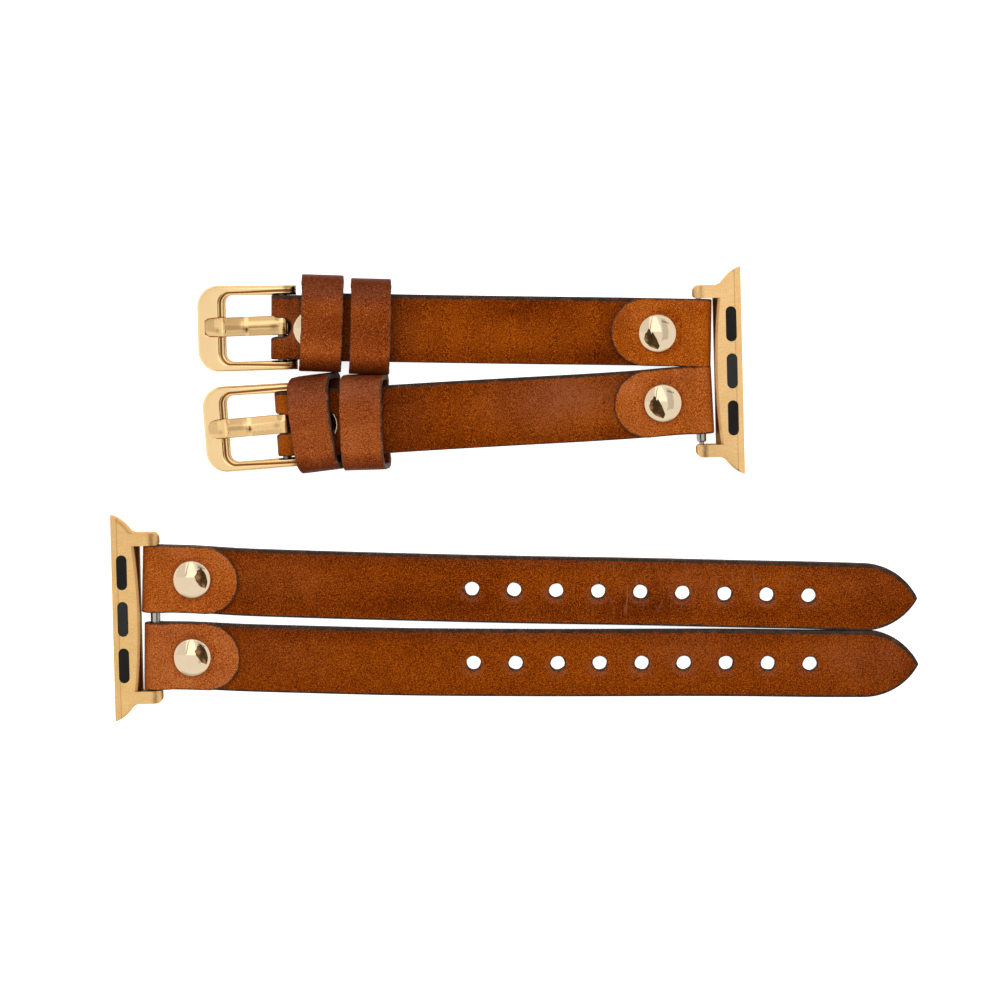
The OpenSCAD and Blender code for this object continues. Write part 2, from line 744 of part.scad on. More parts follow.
short_half() adapter();  // short_adapter
short_half() pads();  // short_pads
short_half() latch();  // short_latch
short_half() latch_spring();  // short_latch_spring
short_half() bar_tube();  // short_bar_tube
short_half() bar_spring();  // short_bar_spring
short_half() bar_tip(1);  // short_bar_tip_1
short_half() bar_tip(-1);  // short_bar_tip_2
on_short(0) short_lining();  // short_lining_1
on_short(0) short_skin();  // short_skin_1
on_short(0) rivet_cap(lug_rivet_x, under_z, lug_stack);  // short_lug_cap_1
on_short(0) rivet_base(lug_rivet_x, under_z, lug_stack);  // short_lug_base_1
on_short(0) rivet_cap(end_rivet_at, return_low_z, end_stack);  // short_end_cap_1
on_short(0) rivet_base(end_rivet_at, return_low_z, end_stack);  // short_end_base_1
keeper_a(0);  // keeper_1a
keeper_b(0);  // keeper_1b
on_buckle(0) buckle_frame();  // buckle_frame_1
on_buckle(0) buckle_bar();  // buckle_bar_1
on_buckle(0) buckle_tang(tang_shift[0], tang_turn[0]);  // buckle_tang_1
on_short(1) short_lining();  // short_lining_2
on_short(1) short_skin();  // short_skin_2
on_short(1) rivet_cap(lug_rivet_x, under_z, lug_stack);  // short_lug_cap_2
on_short(1) rivet_base(lug_rivet_x, under_z, lug_stack);  // short_lug_base_2
on_short(1) rivet_cap(end_rivet_at, return_low_z, end_stack);  // short_end_cap_2
on_short(1) rivet_base(end_rivet_at, return_low_z, end_stack);  // short_end_base_2
keeper_a(1);  // keeper_2a
keeper_b(1);  // keeper_2b
on_buckle(1) buckle_frame();  // buckle_frame_2
on_buckle(1) buckle_bar();  // buckle_bar_2
on_buckle(1) buckle_tang(tang_shift[1], tang_turn[1]);  // buckle_tang_2
long_half() adapter();  // long_adapter
long_half() pads();  // long_pads
long_half() latch();  // long_latch
long_half() latch_spring();  // long_latch_spring
long_half() bar_tube();  // long_bar_tube
long_half() bar_spring();  // long_bar_spring
long_half() bar_tip(1);  // long_bar_tip_1
long_half() bar_tip(-1);  // long_bar_tip_2
on_long(0) long_lining();  // long_lining_1
on_long(0) long_skin();  // long_skin_1
on_long(0) rivet_cap(lug_rivet_x, under_z, lug_stack);  // long_lug_cap_1
on_long(0) rivet_base(lug_rivet_x, under_z, lug_stack);  // long_lug_base_1
on_long(1) long_lining();  // long_lining_2
on_long(1) long_skin();  // long_skin_2
on_long(1) rivet_cap(lug_rivet_x, under_z, lug_stack);  // long_lug_cap_2
on_long(1) rivet_base(lug_rivet_x, under_z, lug_stack);  // long_lug_base_2
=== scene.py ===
"""A two-strand leather watch band in two halves, laid flat. Metres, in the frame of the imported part."""

import bpy
import numpy as np
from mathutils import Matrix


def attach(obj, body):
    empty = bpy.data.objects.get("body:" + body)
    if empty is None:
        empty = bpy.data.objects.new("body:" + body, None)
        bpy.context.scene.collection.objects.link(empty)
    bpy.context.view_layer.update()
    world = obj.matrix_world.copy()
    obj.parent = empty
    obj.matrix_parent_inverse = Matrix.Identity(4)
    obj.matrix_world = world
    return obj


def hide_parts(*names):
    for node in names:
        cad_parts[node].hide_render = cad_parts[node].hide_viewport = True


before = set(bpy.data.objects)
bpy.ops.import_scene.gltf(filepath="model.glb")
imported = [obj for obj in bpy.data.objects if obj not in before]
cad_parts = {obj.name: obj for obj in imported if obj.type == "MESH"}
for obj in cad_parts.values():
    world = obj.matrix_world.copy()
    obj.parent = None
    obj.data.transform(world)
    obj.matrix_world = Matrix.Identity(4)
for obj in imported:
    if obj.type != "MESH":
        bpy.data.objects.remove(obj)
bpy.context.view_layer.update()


# ---------------------------------------------------------------------------
# Adapters. A cast and ground brass bar, gold plated with a fine satin grain, that slides into
# the watch case. Its two arms hold the spring bar, and its face has three slots.

def tint(red, green, blue):
    """A colour as seen on screen, 0 to 255, as the linear values a shader takes: ((c + 0.055) / 1.055) to the 2.4."""
    c = np.array([red, green, blue]) / 255
    return (*np.where(c < 0.04045, c / 12.92, ((c + 0.055) / 1.055) ** 2.4), 1.0)


def scaled(colour, *shares):
    """A colour with its red, green and blue multiplied by one share, or by one each."""
    return (*(np.array(colour[:3]) * shares), 1.0)


def nodes_of(name):
    """A new material, its node tree and its Principled shader."""
    material = bpy.data.materials.new(name)
    material.use_nodes = True
    return material, material.node_tree, material.node_tree.nodes["Principled BSDF"]


def fed(tree, node, inputs):
    """The node, with each of those inputs set to a value or joined to a socket."""
    for key, value in inputs.items():
        if isinstance(value, bpy.types.NodeSocket):
            tree.links.new(value, node.inputs[key])
        else:
            node.inputs[key].default_value = value
    return node


def wired(tree, kind, inputs=(), **settings):
    """A new node of that kind, with its settings and its inputs."""
    node = tree.nodes.new(kind)
    for key, value in settings.items():
        setattr(node, key, value)
    return fed(tree, node, dict(inputs))


def worked(tree, operation, *terms):
    """The sum, product or the like of up to three terms, as a socket."""
    return wired(tree, "ShaderNodeMath", dict(enumerate(terms)), operation=operation).outputs[0]


def coordinates(tree, kind="Object"):
    """A texture coordinate, as a socket."""
    return wired(tree, "ShaderNodeTexCoord").outputs[kind]


def mapped(tree, place, **how):
    """A place scaled, turned and moved, as a socket."""
    return wired(tree, "ShaderNodeMapping", {"Vector": place, **how}).outputs[0]


def noise(tree, place, scale, detail, **more):
    """Noise over a place, with a scale per metre, as a socket."""
    return wired(tree, "ShaderNodeTexNoise", {"Vector": place, "Scale": scale, "Detail": detail, **more}).outputs[0]


def mark(tree, word):
    """What the mesh marks under that word, as a socket."""
    return wired(tree, "ShaderNodeAttribute", attribute_name=word).outputs["Fac"]


def blended(tree, share, low, high):
    """The mix of two colours by a share, as a socket."""
    return wired(tree, "ShaderNodeMix", {0: share, 6: low, 7: high}, data_type="RGBA").outputs[2]


def stretched(tree, socket, low, high, to_low=0.0, to_high=1.0):
    """A value's range moved from low..high to to_low..to_high, and held there."""
    return wired(tree, "ShaderNodeMapRange", {"Value": socket, "From Min": low, "From Max": high,
                                              "To Min": to_low, "To Max": to_high}).outputs[0]


def summed(tree, start, *parts):
    """A starting number plus, for each part, its gain times how far its value is from a half."""
    total = start - 0.5 * sum(gain for _, gain in parts)
    for socket, gain in parts:
        total = worked(tree, "MULTIPLY_ADD", socket, gain, total)
    return total


def relief(tree, height, strength, depth=0.00002):
    """The surface's normal, tilted by a height that is so many metres deep, as a socket."""
    return wired(tree, "ShaderNodeBump", {"Height": height, "Strength": strength, "Distance": depth}).outputs[0]


CREASE_X = 0.0056       # metres from the bar's axis to the line where the facet begins
PAINTED_SHADE_SHARES = (0.22, 0.15, 0.09)    # shares of the plating's red, green and blue left where painted shade lies


def plated(name, colour, roughness, grain, fleck=0.5, deep=0.84, adapter=None):
    """Plated metal: a fine satin speckle and faint clouds in the plating, down to the deep share of its colour, soft
    grinding lines, and painted shade and painted reflections where the mesh marks them. An adapter (place and turn) has
    painted shade along the facet's crease, over the wall that faces the straps, and a trace of it over the wall that
    faces away."""
    material, tree, shader = nodes_of(name)
    place = coordinates(tree)
    lines = noise(tree, mapped(tree, place, Scale=(1.0, 12.0, 12.0)), 700.0, 3.0)
    cloud, dust = noise(tree, place, 300.0, 3.0), noise(tree, place, 4600.0, 2.0)
    # What the mesh marks as painted shade and painted reflections
    seam = mark(tree, "seam")
    if adapter:
        x, y, turn = adapter
        c, s = np.cos(np.radians(turn)), np.sin(np.radians(turn))
        own = mapped(tree, place, Rotation=(0, 0, -np.radians(turn)),
                     Location=(-0.001 * (c * x + s * y), -0.001 * (c * y - s * x), 0))
        across = wired(tree, "ShaderNodeSeparateXYZ", {0: own}).outputs[0]
        from_crease = worked(tree, "ABSOLUTE", worked(tree, "SUBTRACT", across, CREASE_X))
        facing = wired(tree, "ShaderNodeVectorMath", {0: coordinates(tree, "Normal"), 1: (c, s, 0.0)},
                       operation="DOT_PRODUCT").outputs["Value"]
        # An adapter's painted shade: a dark line along the facet's crease, the wall that faces the straps darkened as
        # if in their shadow, and a trace over the wall that faces away
        for shade in (stretched(tree, from_crease, 0.00004, 0.00011, 0.42, 0.0),
                      stretched(tree, facing, -0.8, -0.97, 0.0, 0.93), stretched(tree, facing, 0.3, 0.6, 0.0, 0.1)):
            seam = worked(tree, "MAXIMUM", seam, shade)
    shade = summed(tree, 0.5, (cloud, 1.2), (dust, 2.8 * fleck), (lines, 1.2 * fleck))
    face = blended(tree, stretched(tree, shade, 0.0, 1.0), scaled(colour, deep), colour)
    # The colour darkens to the shaded shares where painted shade lies
    fed(tree, shader, {
        "Base Color": blended(tree, seam, face, scaled(colour, *PAINTED_SHADE_SHARES)), "Metallic": 1.0,
        "Roughness": stretched(tree, dust, 0.3, 0.7, roughness * 0.8, roughness * 1.25),
        "Specular Tint": (0.85, 0.68, 0.46, 1.0), "Normal": relief(tree, dust, grain)})
    return material


def finish_node(node, material):
    """Gives a CAD node its material in place of the plain one."""
    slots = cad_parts[node].data.materials
    slots.clear()
    slots.append(material)


# The middle of each half's spring bar, in millimetres, and the half's turn, in degrees
HALVES = {"short": (29.005, 19.373, 1.6), "long": (-56.595, -19.427, 181.1)}
# Gold of each half: the long half's is painted darker, as painted shade for the light falling off toward it
GILT_LIT_AND_SHADED = {"short": tint(252, 207, 142), "long": tint(239, 195, 129)}
for half, place in HALVES.items():
    finish_node(f"{half}_adapter", plated(f"shaded_satin_gold_{half}", GILT_LIT_AND_SHADED[half], 0.4, 0.07, 1.0, 0.8, place))


# ---------------------------------------------------------------------------
# Pads and latches. Two moulded rubber pads in the outer slots keep the adapter from rattling,
# and a black coated latch in the middle slot, on a steel coil, snaps into the case.

def moulded(name, colour, roughness, grain, gloss):
    """Matt rubber or coated metal: one dark colour, clouded, with a fine moulded grain."""
    material, tree, shader = nodes_of(name)
    place = coordinates(tree)
    cloud, fine = noise(tree, place, 900.0, 3.0), noise(tree, place, 7000.0, 2.0)
    fed(tree, shader, {
        "Base Color": blended(tree, stretched(tree, cloud, 0.3, 0.75), colour, scaled(colour, 1.5)),
        "Roughness": stretched(tree, fine, 0.2, 0.8, roughness * 0.85, roughness * 1.15),
        "Specular IOR Level": gloss, "Normal": relief(tree, fine, grain)})
    return material


matt_rubber = moulded("matt_rubber", tint(22, 20, 18), 0.6, 0.4, 0.12)
gloss_black = moulded("gloss_black", tint(12, 11, 11), 0.22, 0.05, 0.35)
spring_steel = plated("spring_steel", tint(186, 184, 180), 0.24, 0.08)
for half in ("short", "long"):
    finish_node(f"{half}_pads", matt_rubber)
    finish_node(f"{half}_latch", gloss_black)
    finish_node(f"{half}_latch_spring", spring_steel)


# ---------------------------------------------------------------------------
# Spring bars. A steel tube with turned-in mouths, a coil inside it, and at each end a sprung
# tip that sits in the adapter's arm. The straps' loops turn on the tube.

for half in ("short", "long"):
    for part in ("bar_tube", "bar_spring", "bar_tip_1", "bar_tip_2"):
        finish_node(f"{half}_{part}", spring_steel)


# ---------------------------------------------------------------------------
# Linings. Each is one strip of 0.9 mm calf, the layer against the wrist. It is folded round the spring bar and comes
# back on top of the strap as a round-ended tab.

def shifted(x, y, z=0.0):
    """Matrix that moves a point by x, y, z."""
    m = np.eye(4)
    m[:3, 3] = x, y, z
    return m


def turned(degrees, axis):
    """Matrix of a turn about one axis: the cosine on the diagonal and the sine off it, in the other two rows."""
    a, b = {"y": (2, 0), "z": (0, 1)}[axis]
    m, t = np.eye(4), np.radians(degrees)
    m[a, a] = m[b, b] = np.cos(t)
    m[b, a], m[a, b] = np.sin(t), -np.sin(t)
    return m


BAR_Z = 1.95            # height of both spring bars
RISE = -2.0015          # turn that raises the short straps toward their buckles, in degrees
SHORT_HALF, LONG_HALF = (shifted(x, y, BAR_Z) @ turned(angle, "z") for x, y, angle in HALVES.values())

# Where each strap lies, X along it from the spring bar: from its place on the bar, and its turn from square to it
SHORT_STRAPS = [SHORT_HALF @ shifted(0, y) @ turned(180 + a, "z") @ turned(RISE, "y")
                for y, a in ((5.85, -2.33), (-4.9, 1.7))]
LONG_STRAPS = [LONG_HALF @ shifted(0, y) @ turned(180 + a, "z")
               for y, a in ((-6.05, -2.67), (6.15, -1.85))]
STRAP_W, LAYER = 10.6, 0.9
SHORT_LEN, LONG_LEN = 65.2, 120.2   # from the spring bar to the buckle bar, and to the point
HOLES, HOLE_R = 50 + 6.63 * np.arange(9), 1.32      # the holes' lengths and radius
SQUARE = 0.44       # share of the half width that the square of cells round a hole takes
EDGE = 0.2          # radius of a cut edge, rubbed round
NORTH = {"short": -1, "long": 1}    # the side of a strap, in its own y, that lies to the top of the photograph


def smoothly(x, xs, ys):
    """A smooth line through points: on each stretch the cubic whose slopes at its ends are the neighbours' chords."""
    xs, ys = np.array(xs, float), np.array(ys, float)
    slope = np.gradient(ys, xs)
    i = np.clip(np.searchsorted(xs, x) - 1, 0, len(xs) - 2)
    h = np.diff(xs)[i]
    t = (np.clip(x, xs[0], xs[-1]) - xs[i]) / h
    return ((1 + 2 * t) * (1 - t) ** 2 * ys[i] + t * (1 - t) ** 2 * h * slope[i]
            + t * t * (3 - 2 * t) * ys[i + 1] + t * t * (t - 1) * h * slope[i + 1])


# How far each strap lies from straight, sideways, as the leather was left lying: lengths, and offsets there.
SWAY = {"short_1": ([-2, 9, 28, 39, 48, 57, 62, 68], [-.14, -.22, -.25, -.28, -.32, -.34, -.26, -.26]),
        "short_2": ([-2, 4.5, 9.5, 16, 28, 44, 50, 56, 63, 68],
                    [-.42, -.42, -.26, -.2, -.25, -.28, -.26, -.32, -.46, -.48]),
        "long_1": ([0, 5.4, 13.2, 22.6, 38.5, 57.4, 76.4, 93, 107, 113, 119.8],
                   [.12, .14, -.12, -.2, -.22, -.14, .06, .14, .22, .2, .24]),
        "long_2": ([0, 5.4, 13.2, 22.6, 38.5, 57.4, 93, 105, 113, 119.8],
                   [.11, .12, -.13, -.28, -.46, -.36, .11, .14, .24, .3])}


def arc(centre, radius, start, end, n=24):
    """Points of an arc: the centre plus the radius times (cos, sin) of n + 1 angles."""
    a = np.radians(np.linspace(start, end, n + 1))
    return np.array(centre) + radius * np.stack([np.cos(a), np.sin(a)], -1)


def ease(p, q, n=16):
    """Points of a smooth step from p to q: x even, z following half a cosine."""
    t = np.linspace(0, 1, n + 1)
    return np.stack([p[0] + (q[0] - p[0]) * t, p[1] + (q[1] - p[1]) * (1 - np.cos(np.pi * t)) / 2], -1)


def straight(p, q):
    """Points of a straight line from p to q, close together at its ends, so that its heading holds up to them."""
    t = np.array([0, 0.002, 0.5, 0.998, 1])[:, None]
    return np.array(p) * (1 - t) + np.array(q) * t


class Path:
    """A line in the side view, with x and z at each length s along it and its left-hand normal there."""

    def __init__(self, *stretches):
        p = np.concatenate(stretches)
        p = p[np.append(True, np.hypot(*np.diff(p, axis=0).T) > 1e-6)]
        step = np.hypot(*np.diff(p, axis=0).T)
        self.s = np.append(0, np.cumsum(step))
        self.p, self.length = p, self.s[-1]
        way = np.unwrap(np.arctan2(*np.diff(p, axis=0).T[::-1]))
        self.mid = np.concatenate([[0], (self.s[1:] + self.s[:-1]) / 2, [self.length]])
        self.way = np.concatenate([way[:1], way, way[-1:]])

    def at(self, s):
        """Point and normal at each s, the heading interpolated between the middles of the steps."""
        way = np.interp(s, self.mid, self.way)
        return (np.stack([np.interp(s, self.s, self.p[:, 0]), np.interp(s, self.s, self.p[:, 1])], -1),
                np.stack([-np.sin(way), np.cos(way)], -1))


def welded(points, faces):
    """Points that coincide made one, and the faces without what that leaves empty."""
    _, first, inverse = np.unique(np.round(points, 4), axis=0, return_index=True, return_inverse=True)
    faces = inverse.reshape(-1)[faces]
    ok = (faces[:, 0] != faces[:, 1]) & (faces[:, 1] != faces[:, 2]) & (faces[:, 2] != faces[:, 0])
    return points[first], faces[ok]


def quads(grid):
    """Two triangles for each cell of a grid of point numbers, wound so that (along rows, along columns, up) is
    right-handed."""
    a, b, c, d = grid[:-1, :-1], grid[1:, :-1], grid[1:, 1:], grid[:-1, 1:]
    return np.stack([a, b, c, a, c, d], -1).reshape(-1, 3)


def cut_out(s, half, holes=(), slot=None):
    """Plan of a strip: rows at lengths s, points across at shares of the half width, closer near the edges.
    A round hole, at its length, takes a square of cells out and fills it with rings that run from its circle to
    the square, the circle waved by three and five times the angle as a worn punch leaves it.
    A slot (from, to, half width at a length) leaves out the cells between its edges."""
    outer = np.array([1, 0.95, 0.88, 0.75, 0.6])
    shares = np.concatenate([-outer, np.linspace(-SQUARE, SQUARE, 9), outer[::-1]])
    wide = half(s)[:, None]
    across = wide * shares
    if slot:
        edge = slot[2](s)[:, None]
        inner, outer = np.linspace(-1, 1, 7), np.array([1, 0.93, 0.8, 0.6, 0.35, 0.15])
        across = np.concatenate([-(edge + (wide - edge) * outer), edge * inner, edge + (wide - edge) * outer[::-1]], 1)
    rows, cols = across.shape
    plan = np.stack([np.repeat(s, cols), across.ravel()], -1)
    number = np.arange(rows * cols).reshape(rows, cols)
    cell = np.ones((rows - 1, cols - 1), bool)
    if slot:
        mid = (s[1:] + s[:-1]) / 2
        cell[(mid > slot[0]) & (mid < slot[1]), 6:12] = False
    points, faces = [plan], []
    count = rows * cols
    for k, at in enumerate(holes):
        i = np.argmin(np.abs(s - at))
        block = number[i - 4:i + 5, 5:14]
        cell[i - 4:i + 4, 5:13] = False
        edge = np.concatenate([block[:-1, 0], block[-1, :-1], block[:0:-1, -1], block[0, :0:-1]])
        square = plan[edge]
        away = square - [at, 0]
        a = np.arctan2(away[:, 1], away[:, 0])
        wave = HOLE_R * (1 + 0.018 * np.sin(3 * a + 2.1 * k) + 0.014 * np.sin(5 * a + 4.4 * k))[:, None]
        circle = [at, 0] + wave * away / np.hypot(*away.T)[:, None]
        t = np.array([0, 0.1, 0.22, 0.4, 0.66])[:, None, None]
        rings = (1 - t) * circle + t * square
        ids = np.concatenate([count + np.arange(rings[..., 0].size).reshape(5, -1), edge[None]])
        ids = np.concatenate([ids, ids[:, :1]], 1)
        points.append(rings.reshape(-1, 2))
        faces.append(quads(ids))
        count += rings[..., 0].size
    corner = number[:-1, :-1][cell]
    faces.append(np.stack([corner, corner + cols, corner + cols + 1, corner, corner + cols + 1, corner + 1],
                          -1).reshape(-1, 3))
    return welded(np.concatenate(points), np.concatenate(faces))


def thick(plan, faces, thickness, lap):
    """A sheet of a thickness over a plan, with rounded edges: each boundary point steps out along its normal by
    EDGE times the sine of an angle, and down by EDGE times one less its cosine, and the same below, mirrored.
    Returns (s, y, h) points, triangles, and how far in millimetres each point is inside the line that the edge
    paint reaches: its distance to the boundary, less the lap there, which depends on the boundary's normal."""
    sides = np.concatenate([faces[:, [0, 1]], faces[:, [1, 2]], faces[:, [2, 0]]])
    key = np.sort(sides, 1) @ [len(plan) + 1, 1]
    _, index, counts = np.unique(key, return_index=True, return_counts=True)
    rim = sides[index[counts == 1]]
    d = plan[rim[:, 1]] - plan[rim[:, 0]]
    d = np.stack([d[:, 1], -d[:, 0]], -1) / np.hypot(*d.T)[:, None]
    normal = np.zeros_like(plan)
    np.add.at(normal, rim[:, 0], d)
    np.add.at(normal, rim[:, 1], d)
    on = np.unique(rim)
    normal = normal[on] / np.maximum(np.hypot(*normal[on].T)[:, None], 1e-9)
    near = np.hypot(plan[:, None, 0] - plan[None, on, 0], plan[:, None, 1] - plan[None, on, 1])
    nearest = near.argmin(1)
    inside = near[np.arange(len(plan)), nearest] - lap(plan[on], normal)[nearest]
    angles = np.radians([30, 60, 90, 90, 60, 30])
    side = np.array([1, 1, 1, -1, -1, -1])
    place = np.zeros(len(plan), int)
    place[on] = np.arange(len(on))
    n, m = len(plan), len(on)
    rings = [np.column_stack([plan[on] + normal * EDGE * np.sin(a),
                              np.full(m, k * (thickness / 2 - EDGE * (1 - np.cos(a))))]) for a, k in zip(angles, side)]
    points = np.concatenate([np.column_stack([plan, np.full(n, thickness / 2)]), *rings,
                             np.column_stack([plan, np.full(n, -thickness / 2)])])
    start = [0] + [n + m * k for k in range(6)] + [n + 6 * m]
    walls = []
    for k in range(7):
        a = rim if k == 0 else start[k] + place[rim]
        b = start[k + 1] + (rim if k == 6 else place[rim])
        walls += [np.stack([a[:, 0], b[:, 0], b[:, 1]], -1), np.stack([a[:, 0], b[:, 1], a[:, 1]], -1)]
    on_wall = np.minimum(inside[on] - 0.05, -0.05)
    inside = np.concatenate([inside, on_wall, *[on_wall - 0.3] * 4, on_wall, inside])
    return points, np.concatenate([faces, start[7] + faces[:, ::-1], *walls]), inside


HOLE_LAP = -0.04    # how far the edge paint laps out of a hole: the rounding of its edge is left bare


def lapped(north, wide, thin, holes=(), end=-1.0, swell=0.0):
    """How far the edge paint laps onto the face: wide where the edge faces north, where it was laid on thickly, and
    thin to the south, by a power of the normal's share, at least the end's where the edge faces the strip's last
    end, wider by up to the swell's share past 70 mm, and the holes' own lap round the holes."""
    def lap(at, normal):
        share = np.clip(0.5 + 0.62 * north * normal[:, 1], 0, 1)
        width = np.maximum(thin + (wide - thin) * share ** 1.5, end * np.clip(normal[:, 0], 0, 1))
        width = width * (1 + swell * np.clip((at[:, 0] - 70) / 40, 0, 1))
        for h in holes:
            width = np.where(np.hypot(at[:, 0] - h, at[:, 1]) < 1.8, HOLE_LAP, width)
        return width
    return lap


def moved(points, matrix):
    """Points put through a 4 by 4 matrix."""
    return points @ matrix[:3, :3].T + matrix[:3, 3]


def carried(points, path, matrix, sway):
    """(s, y, h) points put on a path: the path's point at s, plus h along its normal, with y across and the sway
    added to it, then the matrix."""
    at, normal = path.at(points[:, 0])
    side = at + points[:, 2:] * normal
    y = points[:, 1] + smoothly(side[:, 0], *sway)
    return moved(np.column_stack([side[:, 0], y, side[:, 1]]), matrix)


def made(name, points, faces, material, body, slot, node, sharp=None, **marks):
    """A mesh object of points in millimetres and triangles, smooth, or sharp past an angle, with its marks as point
    attributes. It rides on the body, and stands for the node."""
    mesh = bpy.data.meshes.new(name)
    mesh.from_pydata((points * 0.001).tolist(), [], faces.tolist())
    mesh.shade_smooth()
    if sharp:
        mesh.set_sharp_from_angle(angle=np.radians(sharp))
    for mark, values in marks.items():
        mesh.attributes.new(mark, "FLOAT", "POINT").data.foreach_set("value", values.astype(np.float32))
    mesh.materials.append(material)
    piece = bpy.data.objects.new(name, mesh)
    bpy.context.scene.collection.objects.link(piece)
    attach(piece, body)
    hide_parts(node)


def ramp(tree, socket, colours):
    """Colours spread evenly over a value from 0 to 1, as a socket."""
    node = wired(tree, "ShaderNodeValToRGB", {"Fac": socket})
    stops = node.color_ramp.elements
    stops[0].color, stops[1].color = colours[0], colours[-1]
    for k, colour in enumerate(colours[1:-1], 1):
        stops.new(k / (len(colours) - 1)).color = colour
    return node.outputs[0]


PAINT = (tint(40, 29, 25), tint(61, 46, 40), tint(108, 88, 75))


def leather(name, colours, dry=tint(140, 80, 52), paint=PAINT, grain=1.0, gloss=0.12):
    """Oiled calf, hand burnished. The colours run from dark to bright with the mesh's tone, which carries painted shade
    and painted highlights as well as the leather's own burnished tone, a drift over millimetres and a fine grain of
    pores. Where the mesh marks it, a pale mix lies on it, partly dryness of the leather and partly a painted sheen, in
    creases where it is creased, and the cut edges carry dark paint with rubbed specks, up to a slightly wavering line."""
    material, tree, shader = nodes_of(name)
    place = coordinates(tree)
    drift, patch = noise(tree, place, 190.0, 4.0, Roughness=0.55), noise(tree, place, 900.0, 3.0)
    pores, fine = noise(tree, place, 4400.0, 2.0, Roughness=0.7), noise(tree, place, 8500.0, 1.0)
    # The mesh's tone holds painted shade and painted highlights along with the leather's own tone
    tone = worked(tree, "ADD", mark(tree, "tone"), 0.5)
    shade = summed(tree, 0.5, (tone, 1.0), (drift, 0.4), (patch, 0.06), (pores, 1.25 * grain), (fine, 2.9 * grain))
    bloom_and_sheen = stretched(tree, summed(tree, 0.45, (pores, 1.8), (fine, 1.4), (drift, 1.0)), 0.0, 1.0)
    # The pale mix where the mesh marks it: partly dry leather, partly painted sheen
    colour = blended(tree, worked(tree, "MULTIPLY", bloom_and_sheen, mark(tree, "dry")), ramp(tree, shade, colours), dry)
    wrinkle = noise(tree, mapped(tree, place, Scale=(1.0, 0.16, 1.0)), 1500.0, 3.0, Distortion=0.6)
    crease = worked(tree, "MULTIPLY", stretched(tree, wrinkle, 0.56, 0.68), mark(tree, "creased"))
    colour = blended(tree, crease, colour, dry)
    edge = worked(tree, "ADD", mark(tree, "inside"), summed(tree, 0.0, (patch, 0.34), (fine, 0.16)))
    coat = ramp(tree, summed(tree, 0.34, (pores, 1.5), (patch, 1.1), (fine, 0.8)), paint)
    height = summed(tree, 0.5, (pores, 1.2), (fine, 0.7), (crease, 0.3))
    fed(tree, shader, {
        "Base Color": blended(tree, stretched(tree, edge, -0.045, 0.055, 1.0, 0.0), colour, coat),
        "Roughness": stretched(tree, pores, 0.25, 0.75, 0.40, 0.56), "Specular IOR Level": gloss,
        "Specular Tint": (1.0, 0.5, 0.15, 1.0), "Normal": relief(tree, height, 0.55 * grain, 0.00005)})
    return material


def spots(x, y, *patches):
    """The sum of soft patches (x, y, width in x, width in y, strength), each a bell curve of the distance from its
    middle, over its widths."""
    return sum(strength * np.exp(-((x - a) / wide) ** 2 - ((y - b) / high) ** 2)
               for a, b, wide, high, strength in patches)


tab_leather = leather("tab_leather", (tint(106, 38, 0), tint(148, 64, 2), tint(174, 86, 10), tint(204, 120, 44)),
                      dry=tint(188, 116, 76), paint=(tint(62, 36, 26), tint(84, 54, 40), tint(122, 90, 70)), gloss=0.1)


def row_lengths(stops, holes=(), step=0.8):
    """Lengths for a strip's rows: even steps between the stops, and eight even cells over each hole's square."""
    a = SQUARE * (STRAP_W / 2 - EDGE)
    marks = sorted(set(list(stops) + [h + k * a for h in holes for k in (-1, 1)]))
    rows = []
    for p, q in zip(marks[:-1], marks[1:]):
        over_hole = any(abs((p + q) / 2 - h) < 1e-6 for h in holes)
        n = 8 if over_hole else max(1, int(np.ceil((q - p) / step)))
        rows.append(np.linspace(p, q, n + 1)[:-1])
    return np.append(np.concatenate(rows), marks[-1])


def gathered(*runs):
    """Several runs of lengths as one, in order, each length once."""
    return np.unique(np.round(np.concatenate(runs), 6))


def round_end(last, r, n):
    """A strip's round end, whose circle has its middle at the last length and the radius r to the strip's edge:
    lengths there, and the half width at a length, the circle's less EDGE, or the narrow one before it."""
    def half(s, narrow):
        return np.where(s > last, np.sqrt(np.maximum((r - EDGE) ** 2 - (s - last) ** 2, 0)), narrow)
    return last + (r - EDGE) * np.sin(np.linspace(0, np.pi / 2, n)), half


POINT_R = 9.7       # radius of the two arcs that meet in the point


def pointed(n):
    """The strap's point: lengths, and half widths there. An arc's half width is its radius, less the edge, times
    the cosine of an angle, less the depth of its centre past the middle."""
    radius, rise = POINT_R - EDGE, POINT_R - STRAP_W / 2
    start = LONG_LEN - np.sqrt(POINT_R ** 2 - rise ** 2)
    a = np.linspace(0, np.arccos(rise / radius), n)
    return start + radius * np.sin(a), radius * np.cos(a) - rise


TIP = pointed(26)
TIP_CELLS = 111.63      # where the point's rows give way to the straight part's, on a long lining
FOLD_R = 1.45           # radius of the lining's middle round the spring bar
TAB_X, TAB_Z = 3.05, 0.35       # where the tab comes down on the skin, and the height of its middle
TAB = {"short_1": 13.9, "short_2": 13.6, "long_1": 13.2, "long_2": 13.2}        # how far each tab reaches
TAB_DRY_AND_SHEEN = {"short_1": 0.05, "short_2": 0.3, "long_1": 0.25, "long_2": 0.5}
LINING_NECK = ([0, 3.2, 3.4], [4.775, 4.775, STRAP_W / 2 - EDGE])   # narrowed buckle end: lengths, and half widths


